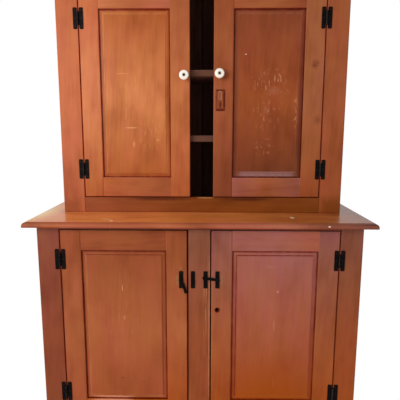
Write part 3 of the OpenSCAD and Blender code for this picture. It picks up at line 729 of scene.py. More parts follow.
# Finishes of the nodes that have marks of their own
MARKED = {
    "upper_right_hinge_stile": StainedPine("stained_knotty_pine", marks=(
        Mark(446, 1500, 24, 26, "#6A3018", 0.6, 0.9, 0.5),
        Mark(440, 1494, 7, 7, "#4A2010", 0.45, 0.9, 0.5),
        Mark(455, 1504, 5, 6, "#5A2814", 0.4, 0.9, 0.5),
        Mark(461, 1286, 24, 26, "#743820", 0.5, 0.9, 0.5),
        Mark(464, 1288, 6, 6, "#4E2412", 0.4, 0.9, 0.5),
    )),
    "upper_bottom_rail": StainedPine("stained_pine_with_grime_painted_shade_and_highlight", marks=(
        # Dark strips under the doors are grime and painted shade of the doors; the pale strip on
        # the top edge between them is wear and a painted highlight
        Mark(-165, 972, 170, 13, "#471200", 0.75, 0.8),
        Mark(195, 971, 135, 13, "#411000", 0.75, 0.8),
        Mark(23, 976, 42, 3, "#C08457", 0.8, 0.4),
    )),
    "upper_right_lock_patch": StainedPine("stained_lock_patch", marks=(
        # The dark rims and the dark keyhole are painted shade of the recess and the keyhole, and
        # the pale strip is a painted highlight in the keyhole
        Mark(79.5, 1402, 22, 6.5, PATCH_RIM, 0.9, 0.5, 0.1, Shape.BLOCK),
        Mark(95.0, 1365, 7.5, 44, PATCH_RIM, 0.95, 0.5, 0.05, Shape.BLOCK),
        Mark(61.5, 1363, 2.5, 44, PATCH_RIM, 0.7, 0.6, 0.1, Shape.BLOCK),
        Mark(79.5, 1325, 22, 8.5, PATCH_RIM, 0.9, 0.5, 0.1, Shape.BLOCK),
        Mark(79.5, 1345, 7, 20, PATCH_RIM, 0.9, 0.7, 0.2),
        Mark(77.5, 1381, 5.5, 19, "#CC9470", 0.9, 0.3, 0.05, Shape.BLOCK),
    )),
    "base_stile_centre": StainedPine("stained_cracked_pine", marks=(
        Scratches(28, 560, 20, 340, "#C8845C", 0.4, 0.9, wide_mm=4, long_mm=120, scarce=0.5),
        Mark(38, 500, 2.4, 420, "#C98A66", 0.6, 0.7, 0.3, Shape.BLOCK),
        Mark(33, 640, 1.8, 60, "#3A120A", 0.75, 0.6),
    )),
    "base_left_latch_stile": StainedPine("stained_pine_with_latch_marks", marks=(
        Mark(-84, 688, 8, 30, "#8C7048", 0.4, 0.6),
        Mark(-87, 684, 2, 2, "#2A1006", 0.8, 0.5),
        Mark(-70, 733, 5, 4, "#B08860", 0.35, 0.7),
    )),
    "base_right_latch_stile": StainedPine("stained_pine_with_screw_marks_and_painted_hole_shade", marks=(
        Mark(84, 688, 6, 24, "#9A7458", 0.3, 0.6),
        Mark(90, 690, 2, 2, "#4A1C0C", 0.6, 0.5),
        # Dark red ring round the knob hole: dirt and painted shade of the hole
        Mark(69, 567, 13.5, 13.5, "#6A1A08", 0.9, 0.4, 0.1),
    )),
    "upper_right_panel": StainedPine("scratched_stained_pine_with_painted_reflection", marks=(
        # Purple-grey strip along the bottom bevel: painted reflection
        Mark(266, 1072, 128, 13, "#8A5C54", 0.85, 0.3, 0.1, Shape.BLOCK),
        Scratches(282, 1425, 95, 80, "#D4A07A", 0.58, 0.9, wide_mm=7, long_mm=22, scarce=0.57),
        Scratches(262, 1310, 90, 95, "#CC9270", 0.52, 0.9, wide_mm=8, long_mm=24,
                  scarce=0.575),
        Scratches(225, 1440, 60, 60, "#C48A66", 0.4, 0.9, wide_mm=7, long_mm=30, scarce=0.58),
        Scratches(252, 1180, 60, 50, "#C88A62", 0.55, 0.9, wide_mm=9, long_mm=17, scarce=0.56),
        Scratches(374, 1320, 14, 100, "#CC946E", 0.5, 0.9, wide_mm=6, long_mm=18, scarce=0.52),
        Mark(288, 1400, 40, 26, "#A8664A", 0.35, 0.9, 0.5),
        Mark(262, 1325, 16, 30, "#A8664A", 0.3, 0.9, 0.5),
        Mark(176, 1537, 5, 3, "#E0B090", 0.7),
    )),
    "upper_left_panel": StainedPine("flecked_stained_pine", marks=(
        Scratches(-190, 1230, 80, 100, "#D89A62", 0.4, 0.9, wide_mm=6, long_mm=34,
                  scarce=0.56),
        Scratches(-250, 1350, 110, 190, "#DDA066", 0.35, wide_mm=5, long_mm=60, scarce=0.6),
        Mark(-275, 1256, 30, 2.4, "#E4A474", 0.6),
        Mark(-303, 1465, 34, 2.2, "#D8946A", 0.4),
        Mark(-265, 1192, 6, 16, "#DC8A60", 0.5),
        Mark(-168, 1208, 8, 2.5, "#E8AC78", 0.5),
    )),
    "base_left_panel": StainedPine("scraped_stained_pine_with_painted_reflection", **EVEN, marks=(
        # Pale strip along the bottom bevel: painted reflection
        Mark(-340, 196, 100, 6, "#C98262", 0.8, 0.5, 0.1),
        Scratches(-280, 560, 110, 220, "#C58A66", 0.14, wide_mm=4, long_mm=50),
        Mark(-294, 652, 2.6, 15, "#CC8C70", 0.6),
        Mark(-288, 532, 5, 12, "#BC7C5C", 0.5),
        Mark(-301, 280, 3.5, 3, "#2A1008", 0.8),
        Mark(-218, 264, 3, 2.5, "#3A180C", 0.7),
    )),
    "base_left_rails": StainedPine("stained_pine_rail_with_painted_highlight", marks=(
        # Pale top edge of the bottom rail: painted highlight
        Mark(-345, 185, 105, 9, "#CC8560", 0.8, 0.5, 0.1),
    )),
    "base_right_panel": StainedPine("dabbed_stained_pine_with_painted_bounce_and_reflection", **EVEN, marks=(
        Mark(299, 641, 5, 6, "#C08878", 0.7),
        Mark(288, 505, 4, 34, "#B87458", 0.45),
        Mark(291, 265, 4, 28, "#B8683C", 0.45),
        Mark(266, 738, 26, 9, "#A86C62", 0.35, 0.9),
        # Orange toward the foot is painted bounce light from the floor, and the pink haze at the
        # top is a painted reflection
        Mark(280, 170, 240, 300, "#9A4404", 0.85, 1.0),
        Mark(340, 800, 130, 150, "#A0605C", 0.5, 1.0),
    )),
}

# Depth that takes in a whole board, for marks that also show on its sides and back
ALL_DEEP = 600.0

DARK_FOOTED = StainedPine(
    "stained_pine_dark_at_the_foot", marks_deep_mm=ALL_DEEP,
    marks=(Mark(-540, 915, 70, 75, "#8A4525", 0.85, 0.6, 0.1, Shape.BLOCK),
           Mark(540, 915, 70, 85, "#793C0F", 0.85, 0.6, 0.1, Shape.BLOCK)),
)
NOSING = StainedPine(
    "stained_pine_nosing", marks_deep_mm=ALL_DEEP,
    marks=(Mark(470.5, 904, 6, 2.8, "#FFE6CC", 0.9, 0.6),
           Mark(-610, 900, 60, 30, "#7C3E28", 0.7, 1.0),
           Mark(0, 904, 80, 30, "#7A3E26", 0.55, 1.0),
           Mark(300, 904, 190, 30, "#B46850", 0.6, 1.0)),
)
# The counter's top: the gain lightens its stain as painted light from above, and the pale patch
# at its left end is a painted reflection
TOP_WITH_PAINTED_LIGHT = StainedPine(
    "stained_pine_top_with_painted_light", gain=(2.3, 2.9, 2.2), coat=0.27, coat_roughness=0.16,
    marks_deep_mm=ALL_DEEP,
    marks=(Mark(-650, 915, 100, 9, "#FFE29A", 0.95, 1.0, y_mm=-60, half_d_mm=270),
           Mark(650, 915, 160, 9, "#6A3A1C", 0.6, 1.0, y_mm=-60, half_d_mm=300),
           Mark(-327, 915, 8, 9, "#FFEBCC", 0.95, y_mm=-222, half_d_mm=12),
           Mark(-352, 915, 26, 9, "#FFD2A0", 0.45, y_mm=-193, half_d_mm=12),
           Mark(356, 915, 11, 9, "#FFE9C4", 0.95, 0.7, y_mm=-150, half_d_mm=22),
           Mark(335, 915, 34, 9, "#F0B078", 0.55, 0.9, y_mm=-120, half_d_mm=9)),
)


@dataclass(frozen=True)
class SawnPine:
    """Unplaned pine gone brown with age, inside and on the back, and darker still inside as
    painted shade.

    It gives the eye dull boards with saw marks across them, stains and no sheen. Saw marks,
    seams and nail heads are drawn larger than real, so that they show from a step away.
    """

    name: str
    # Colours of the inside, darkened as painted shade as well as by age
    dark: str = "#4A2A20"
    light: str = "#8E5644"
    cloud: Spots = Spots(110, 300)
    streak: Spots = Spots(12, 190, start=3.1)
    grain: Spots = Spots(2.4, 60, start=7.7)
    saw: Spots = Spots(160, 6.0, 2.0, 9.2)
    roughness: float = 0.82
    seam: str = "#1C120C"
    seam_mm: float = 3.6
    seam_core_mm: float = 0.4
    seam_strength: float = 0.85
    lap_left_mm: float = 0.0
    lap_right_mm: float = 0.0
    nail: str = "#241A15"
    nail_mm: float = 3.6
    nail_rim_mm: float = 0.6
    nail_strength: float = 0.9
    rust_mm: float = 11.52
    rust_strength: float = 0.35
    nail_in_mm: float = 24.0
    nail_rows_mm: tuple[float, ...] = ()

    def material(self) -> Material:
        """Builds the material.

        Returns:
            The material.
        """
        material, tree = new_material(self.name)
        wood = add_node(tree, "Attribute", attribute_name=WOOD_PLACE).outputs["Vector"]
        cloud, streak, grain, saw = (
            spots.drawn(tree, wood) for spots in (self.cloud, self.streak, self.grain, self.saw)
        )
        shade = weighted_sum(tree, [(cloud, 0.36), (streak, 0.34), (grain, 0.2), (saw, 0.1)])
        height = weighted_sum(tree, [(streak, 0.2), (grain, 0.14), (saw, 0.3)])
        colour = add_node(tree, "ValToRGB", {"Fac": shade},
                          [(0.34, linear(self.dark)), (0.66, linear(self.light))])
        age = add_node(tree, "Attribute", attribute_name=AGE).outputs["Fac"]
        aged = add_node(tree, "VectorMath", {0: colour, "Scale": age}, operation="SCALE")
        lapped = self.lap_left_mm or self.lap_right_mm
        shader = add_node(tree, "BsdfPrincipled", {
            "Base Color": self.seams_and_nails(tree, aged) if lapped else aged,
            "Roughness": self.roughness, "IOR": 1.5, "Specular IOR Level": 0.2,
            "Normal": add_node(tree, "Bump", {"Height": height, "Distance": MM}),
        })
        add_node(tree, "OutputMaterial", {"Surface": shader})
        return material

    def seams_and_nails(self, tree: NodeTree, colour: Source) -> Source:
        """Darkens the long edges of upright planks and sets rows of nails in them.

        Args:
            tree: Node tree to add to.
            colour: Colour of the wood.

        Returns:
            Colour with seams and nails.
        """
        rooms = []
        for name, lap_mm in ((ROOM_LOW, self.lap_left_mm), (ROOM_HIGH, self.lap_right_mm)):
            room = add_node(tree, "Attribute", attribute_name=name).outputs["Vector"]
            x = add_node(tree, "SeparateXYZ", {0: room}).outputs["X"]
            rooms.append(add_node(tree, "Math", {0: x, 1: lap_mm * MM}, operation="SUBTRACT"))
        inward = add_node(tree, "Math", dict(enumerate(rooms)), operation="MINIMUM")
        spots = [(inward, self.seam_mm, self.seam_core_mm, self.seam, self.seam_strength)]
        if self.nail_rows_mm:
            place = add_node(tree, "TexCoord").outputs["Object"]
            z = add_node(tree, "SeparateXYZ", {0: place}).outputs["Z"]
            nearest = FAR_OFF
            for row_mm in self.nail_rows_mm:
                above = add_node(tree, "Math", {0: z, 1: row_mm * MM}, operation="SUBTRACT")
                off = add_node(tree, "Math", {0: above}, operation="ABSOLUTE")
                nearest = add_node(tree, "Math", {0: nearest, 1: off}, operation="MINIMUM")
            across = add_node(tree, "Math", {0: inward, 1: self.nail_in_mm * MM},
                              operation="SUBTRACT")
            away = add_node(tree, "CombineXYZ", {"X": across, "Z": nearest})
            length = add_node(tree, "VectorMath", {0: away}, operation="LENGTH").outputs["Value"]
            spots += [
                (length, self.rust_mm, self.nail_mm, self.nail, self.rust_strength),
                (length, self.nail_mm + self.nail_rim_mm, self.nail_mm, self.nail,
                 self.nail_strength),
            ]
        tints = [
            (add_node(tree, "MapRange", {
                "Value": room, "From Min": far_mm * MM, "From Max": close_mm * MM,
                "To Max": strength,
            }, interpolation_type="SMOOTHSTEP"), linear(tint))
            for room, far_mm, close_mm, tint, strength in spots
        ]
        return layered(tree, colour, tints)


@dataclass(frozen=True)
class JapannedIron:
    """Thin cast iron under black japan, rubbed through at its edges.

    It gives the eye a soft black with brown, slightly shiny rims, a painted highlight down the
    left of each hinge's barrel and a sandy skin.
    """

    name: str = "black_japanned_iron"
    black: str = "#080404"
    # Colour where the japan is rubbed through, also laid on the hinges' barrels as a painted
    # highlight
    rubbed_and_lit: str = "#403B37"
    rust: str = "#1E0D08"
    patches: Spots = Spots(7, 9)
    sand: Spots = Spots(1.4, 1.4, 2.0, 4.4)
    roughness: float = 0.5

    def material(self) -> Material:
        """Builds the material.

        Returns:
            The material.
        """
        material, tree = new_material(self.name)
        place = add_node(tree, "TexCoord").outputs["Object"]
        patchy, sand = (spots.drawn(tree, place) for spots in (self.patches, self.sand))
        wear_and_light = add_node(tree, "Attribute", attribute_name=WEAR_AND_LIGHT).outputs["Fac"]
        thin = add_node(tree, "MapRange", {"Value": patchy, "From Min": 0.35, "From Max": 0.7})
        rub_and_glint = add_node(tree, "Math", {0: wear_and_light, 1: thin}, operation="MULTIPLY", use_clamp=True)
        rusty = add_node(tree, "MapRange", {
            "Value": patchy, "From Min": 0.56, "From Max": 0.74, "To Max": 0.5,
        })
        colour = layered(tree, linear(self.black),
                         [(rusty, linear(self.rust)), (rub_and_glint, linear(self.rubbed_and_lit))])
        height = weighted_sum(tree, [(sand, 0.16), (patchy, 0.2)])
        dull = varied(tree, self.roughness, [(patchy, 0.24), (sand, 0.1)])
        shader = add_node(tree, "BsdfPrincipled", {
            "Base Color": colour, "Roughness": dull, "IOR": 1.5, "Specular IOR Level": 0.045,
            "Normal": add_node(tree, "Bump", {"Height": height, "Distance": MM}),
        })
        add_node(tree, "OutputMaterial", {"Surface": shader})
        return material


@dataclass(frozen=True)
class BluedSteel:
    """Turned steel of the pins and screws, blued and gone brown.

    It gives the eye small dark metal heads with a dull shine.
    """

    name: str = "blued_steel"
    dark: str = "#120E0C"
    bare: str = "#2C2622"
    patches: Spots = Spots(3.5, 3.5)
    turning: Spots = Spots(3, 0.7, 1.0, 2.2)
    roughness: float = 0.5

    def material(self) -> Material:
        """Builds the material.

        Returns:
            The material.
        """
        material, tree = new_material(self.name)
        place = add_node(tree, "TexCoord").outputs["Object"]
        patchy, lines = (spots.drawn(tree, place) for spots in (self.patches, self.turning))
        colour = add_node(tree, "ValToRGB", {"Fac": patchy},
                          [(0.42, linear(self.dark)), (0.7, linear(self.bare))])
        height = weighted_sum(tree, [(lines, 0.05), (patchy, 0.08)])
        dull = varied(tree, self.roughness, [(patchy, 0.3)])
        shader = add_node(tree, "BsdfPrincipled", {
            "Base Color": colour, "Roughness": dull, "Metallic": 1.0,
            "Normal": add_node(tree, "Bump", {"Height": height, "Distance": MM}),
        })
        add_node(tree, "OutputMaterial", {"Surface": shader})
        return material


@dataclass(frozen=True)
class GlazedPorcelain:
    """White porcelain under a clear glaze, a little grey with age.

    It gives the eye a bright milky white with a sharp reflection and fine crazing.
    """

    name: str = "glazed_porcelain"
    clay: str = "#F6ECDD"
    aged: str = "#E6D9C4"
    # Grey round the screw, partly dirt and partly painted shade in the recess
    stain: str = "#857A68"
    cloud: Spots = Spots(14, 14)
    craze_mm: float = 3.2

    def material(self) -> Material:
        """Builds the material.

        Returns:
            The material.
        """
        material, tree = new_material(self.name)
        place = add_node(tree, "TexCoord").outputs["Object"]
        cloud = self.cloud.drawn(tree, place)
        crack = add_node(tree, "TexVoronoi", {
            "Vector": place, "Scale": 1 / (self.craze_mm * MM),
        }, feature="DISTANCE_TO_EDGE").outputs["Distance"]
        line = add_node(tree, "MapRange", {
            "Value": crack, "From Min": 0.03, "From Max": 0.0, "To Max": 0.35,
        })
        share = weighted_sum(tree, [(cloud, 0.9), (line, 1.0)], -0.22)
        colour = add_node(tree, "ValToRGB", {"Fac": share},
                          [(0.1, linear(self.clay)), (0.9, linear(self.aged))])
        grime_and_shade = add_node(tree, "Attribute", attribute_name=GRIME_AND_SHADE).outputs["Fac"]
        height = weighted_sum(tree, [(cloud, 0.12)])
        shader = add_node(tree, "BsdfPrincipled", {
            "Base Color": layered(tree, colour, [(grime_and_shade, linear(self.stain))]),
            "Roughness": 0.16, "IOR": 1.52, "Coat Weight": 0.5, "Coat Roughness": 0.05,
            "Normal": add_node(tree, "Bump", {"Height": height, "Distance": MM}),
        })
        add_node(tree, "OutputMaterial", {"Surface": shader})
        return material


def corners(verts: Iterable[BMVert]) -> tuple[Vector, Vector]:
    """Finds the box around some vertices.

    Args:
        verts: The vertices.

    Returns:
        Lowest and highest corner.
    """
    places = [v.co for v in verts]
    low = Vector([min(p[i] for p in places) for i in range(3)])
    high = Vector([max(p[i] for p in places) for i in range(3)])
    return low, high


def front_block(solid: Iterable[BMVert]) -> tuple[Vector, Vector]:
    """Finds a board's main block from its front face, so that tenons don't count.

    Args:
        solid: The board's vertices.

    Returns:
        Lowest and highest corner of the block.
    """
    low, high = corners(solid)
    front_low, front_high = corners(v for v in solid if v.co.y < low.y + SAME_PLACE)
    return Vector((front_low.x, low.y, front_low.z)), Vector((front_high.x, high.y, front_high.z))


def islands(mesh: BMesh) -> list[list[BMVert]]:
    """Splits a mesh into its separate solids.

    Args:
        mesh: Mesh to split.

    Returns:
        The solids' vertices, from the lowest solid up and from left to right.
    """
    left, found = set(mesh.verts), []
    for start in mesh.verts:
        if start not in left:
            continue
        left.discard(start)
        solid, queue = [start], [start]
        while queue:
            for edge in queue.pop().link_edges:
                for other in edge.verts:
                    if other in left:
                        left.discard(other)
                        solid.append(other)
                        queue.append(other)
        found.append(solid)

    def order(solid: list[BMVert]) -> tuple[float, float, float]:
        """Place of a solid, for sorting."""
        middle = sum(corners(solid), Vector()) / 2
        return round(middle.z, 3), round(middle.x, 3), round(middle.y, 3)

    return sorted(found, key=order)


def copy_node(node: str) -> BMesh:
    """Copies a CAD node's mesh, merges its loose triangles and joins its flat faces.

    Args:
        node: CAD node.

    Returns:
        The copy, with empty attributes for wear and light, and for grime and shade.
    """
    mesh = bmesh.new()
    mesh.from_mesh(frame["nodes"][node].data)
    bmesh.ops.remove_doubles(mesh, verts=mesh.verts, dist=SAME_PLACE)
    bmesh.ops.dissolve_limit(mesh, angle_limit=math.radians(FLAT_DEG), verts=mesh.verts,
                             edges=mesh.edges, use_dissolve_boundaries=False)
    mesh.faces.layers.float.new(WEAR_AND_LIGHT)
    mesh.faces.layers.float.new(GRIME_AND_SHADE)
    return mesh


def round_edges(mesh: BMesh, edges: list[BMEdge], width_mm: float, segments: int = 3) -> None:
    """Rounds edges and marks the new faces as worn.

    Args:
        mesh: Mesh that holds the edges.
        edges: Edges to round.
        width_mm: Width of the rounding.
        segments: Faces across the rounding.
    """
    wear_and_light = mesh.faces.layers.float.get(WEAR_AND_LIGHT)
    made = bmesh.ops.bevel(
        mesh, geom=edges, offset=width_mm * MM, offset_type="OFFSET", affect="EDGES",
        segments=segments, profile=0.5, material=-1, clamp_overlap=True,
    )
    for face in made["faces"]:
        face[wear_and_light] = 1.0


def lay_grain(mesh: BMesh, node: str, grain: Grain, tones: Sequence[Tone]) -> None:
    """Gives each solid its own place in the wood, its stain and the room to its edges.

    Args:
        mesh: Finished mesh.
        node: Name that seeds the boards' places in the wood.
        grain: Axis of the grain.
        tones: Stain of each solid in turn.
    """
    place, room_low, room_high = (mesh.verts.layers.float_vector.new(name)
                                  for name in (WOOD_PLACE, ROOM_LOW, ROOM_HIGH))
    stain = mesh.verts.layers.float_color.new(STAIN)
    age = mesh.verts.layers.float.new(AGE)
    draw = random.Random(node)
    axis = grain.value
    for index, solid in enumerate(islands(mesh)):
        low, high = corners(solid)
        middle = (low + high) / 2
        shift = Vector([draw.uniform(*reach) for reach in WOOD_SHIFTS])
        tone = tones[index % len(tones)]
        years = random.Random(f"{node} {index}").uniform(*AGES)
        for v in solid:
            v[age] = years
            v[place] = grain.turned(v.co - middle) + shift
            v[room_low] = v.co - low
            v[room_high] = high - v.co
            v[stain] = tone.at((v.co[axis] - low[axis]) / (high[axis] - low[axis]))


def finish_piece(mesh: BMesh, node: str, ending: str, materials: list[Material],
                 sharp_deg: float = 38.0) -> Object:
    """Turns a mesh into a piece that stands for a CAD node and moves with its body.

    Args:
        mesh: Finished mesh, freed here.
        node: CAD node that it stands for.
        ending: Last word of the piece's name, after the node's.
        materials: Materials by face index.
        sharp_deg: Angle above which an edge stays sharp.

    Returns:
        The new object.
    """
    name = f"{node}_{ending}"
    data = bpy.data.meshes.new(name)
    mesh.to_mesh(data)
    mesh.free()
    data.polygons.foreach_set("use_smooth", [True] * len(data.polygons))
    data.set_sharp_from_angle(angle=math.radians(sharp_deg))
    for material in materials:
        data.materials.append(material)
    piece = bpy.data.objects.new(name, data)
    bpy.context.scene.collection.objects.link(piece)
    weighted = piece.modifiers.new("even_shading", "WEIGHTED_NORMAL")
    weighted.keep_sharp = True
    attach(piece, frame["nodes"][node]["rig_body"])
    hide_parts(node)
    log.info("%s stands for %s, %d faces", name, node, len(data.polygons))
    return piece


def second_finish(piece: Object, finish: Material,
                  has_it: Callable[[MeshPolygon], bool]) -> None:
    """Gives some faces of a piece another finish.

    Args:
        piece: Piece with one finish.
        finish: The other one.
        has_it: Says whether a face gets it.
    """
    piece.data.materials.append(finish)
    for face in piece.data.polygons:
        face.material_index = int(has_it(face))


@dataclass(kw_only=True)
class Joinery:
    """What every sub-assembly of boards shares: its finish and how a board is dressed."""

    finish: Material
    slot: str = "case_wood"

    def board(self, node: str, grain: Grain, tones: Sequence[Tone], easing: Easing,
              block: Callable[[list[BMVert]], tuple[Vector, Vector]] = front_block) -> Object:
        """Copies a board from its CAD node, rounds its edges and lays its grain.

        Args:
            node: CAD node.
            grain: Axis of the grain.
            tones: Stain of each solid in turn.
            easing: Roundings of its edges.
            block: Finds the corners of a solid's main block.

        Returns:
            The dressed board, in its marked finish where it has one.
        """
        mesh = copy_node(node)
        # A cut across the middle of the grain lets the stain change there
        along = Vector([float(i == grain.value) for i in range(3)])
        for solid in islands(mesh):
            edges = dict.fromkeys(e for v in solid for e in v.link_edges)
            faces = dict.fromkeys(f for v in solid for f in v.link_faces)
            bmesh.ops.bisect_plane(
                mesh, geom=[*solid, *edges, *faces], dist=TOUCHING,
                plane_co=sum(corners(solid), Vector()) / 2, plane_no=along,
            )
        widths: dict[float, list[BMEdge]] = {}
        boxes = [(set(solid), *block(solid)) for solid in islands(mesh)]
        for edge in mesh.edges:
            low, high = next(box for solid, *box in boxes if edge.verts[0] in solid)
            widths.setdefault(easing.width(edge, low, high), []).append(edge)
        widths.pop(0.0, None)
        for width in sorted(widths, reverse=True):
            round_edges(mesh, [e for e in widths[width] if e.is_valid], width)
        easing.dress(mesh)
        lay_grain(mesh, node, grain, tones)
        finish = MARKED[node].material() if node in MARKED else self.finish
        return finish_piece(mesh, node, "finished", [finish])


@dataclass(kw_only=True)
class FrontBoards(Joinery):
    """Single boards at the front: a case's stiles and rails, or the patch in a door."""

    boards: dict[str, tuple[Grain, Tone, Easing]]

    def build(self) -> None:
        """Dresses each board."""
        for node, (grain, tone, easing) in self.boards.items():
            self.board(node, grain, [tone], easing)


@dataclass(kw_only=True)
class Lining(Joinery):
    """Level boards or back planks of one case, sawn inside and otherwise outside."""

    slot: str = "inside_wood"
    nodes: tuple[str, ...]
    grain: Grain
    tone: Tone
    outside: Material
    outward: Callable[[MeshPolygon], bool]
    ease_mm: float

    def build(self) -> None:
        """Dresses the boards, and gives their outward faces the other finish."""
        for node in self.nodes:
            piece = self.board(node, self.grain, [self.tone], Easing(*[self.ease_mm] * 5),
                               corners)
            second_finish(piece, self.outside, self.outward)


@dataclass(kw_only=True)
class Sides(Joinery):
    """Side boards of one case, stained outside and sawn inside."""

    boards: dict[str, Tone]
    inside: Material
    ease_mm: float = 1.2

    def build(self) -> None:
        """Dresses the boards, and gives the faces that look into the case the inside's finish."""
        low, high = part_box("counter_top")
        middle_x = (low.x + high.x) / 2
        for node, tone in self.boards.items():
            piece = self.board(node, Grain.UP, [tone], Easing(*[self.ease_mm] * 5), corners)
            second_finish(piece, self.inside, lambda face: (
                abs(face.normal.x) > SIDEWAYS and face.normal.x * (middle_x - face.center.x) > 0))


@dataclass(kw_only=True)
class Counter(Joinery):
    """Counter board with its rounded edge and, on its front edge, a chip and dents."""

    slot: str = "counter_wood"
    top: Material
    tone: Tone = Tone(Stain.CHESTNUT, Stain.CLAY, Stain.DUN)
    top_tone: Tone = Tone(Stain.RUSSET, Stain.CHESTNUT, Stain.BARK)
    top_skin: float = 1e-4
    nose_deep: float = 0.010
    nose_below_mm: float = 1.0
    nose_above_mm: float = 4.0
    # Spans that the board is cut into, so that its stain can change along it
    spans: int = 12
    # X, half width and depth of the chip and of each dent
    dents: tuple[Point, ...] = ((0.4705, 0.009, 0.0026), (-0.327, 0.007, 0.0016),
                                (-0.12, 0.007, 0.0008), (0.21, 0.007, 0.001))

    def build(self) -> None:
        """Dresses the counter, with dents along its front edge."""
        node = "counter_top"
        mesh = copy_node(node)
        low, high = corners(mesh.verts)
        cuts = [x + half * share for x, half, _ in self.dents
                for share in (-1, -0.5, 0, 0.5, 1)]
        cuts += [low.x + (high.x - low.x) * span / self.spans for span in range(1, self.spans)]
        for cut in cuts:
            bmesh.ops.bisect_plane(
                mesh, geom=[*mesh.verts, *mesh.edges, *mesh.faces], plane_co=(cut, 0, 0),
                plane_no=(1, 0, 0), dist=TOUCHING,
            )
        nose_low, nose_high = low.z + self.nose_above_mm * MM, high.z - self.nose_below_mm * MM
        for x, half, depth in self.dents:
            for v in mesh.verts:
                if v.co.y < low.y + self.nose_deep and nose_low < v.co.z < nose_high:
                    v.co.y += depth * max(0.0, 1 - abs(v.co.x - x) / half)
        lay_grain(mesh, node, Grain.ACROSS, [self.tone])
        top_z = max(v.co.z for v in mesh.verts) - self.top_skin
        stain = mesh.verts.layers.float_color.get(STAIN)
        for v in mesh.verts:
            if v.co.z > top_z:
                v[stain] = self.top_tone.at((v.co.x - low.x) / (high.x - low.x))
        piece = finish_piece(mesh, node, "finished", [self.finish])
        second_finish(piece, self.top, lambda face: face.center.z > top_z)


@dataclass(kw_only=True)
class Cornice(Joinery):
    """Moulded cornice at the top of the upper case, with its two returns."""

    tone: Tone = Tone(Stain.AMBER, Stain.RUSSET, Stain.TILE)

    def build(self) -> None:
        """Dresses the front moulding and the returns."""
        for node, grain in (("cornice_front", Grain.ACROSS), ("cornice_returns", Grain.DEEP)):
            mesh = copy_node(node)
            lay_grain(mesh, node, grain, [self.tone])
            finish_piece(mesh, node, "finished", [self.finish])


@dataclass(frozen=True)
class BevelLook:
    """How much lighter, for wear and painted light, and how much darker, for dirt and painted
    shade, one side of a panel's bevel is, and its line at the field.
    """

    worn_and_lit: float = 0.0
    soiled_and_shaded: float = 0.0
    line_worn_and_lit: float = 0.0
    line_soiled_and_shaded: float = 0.0


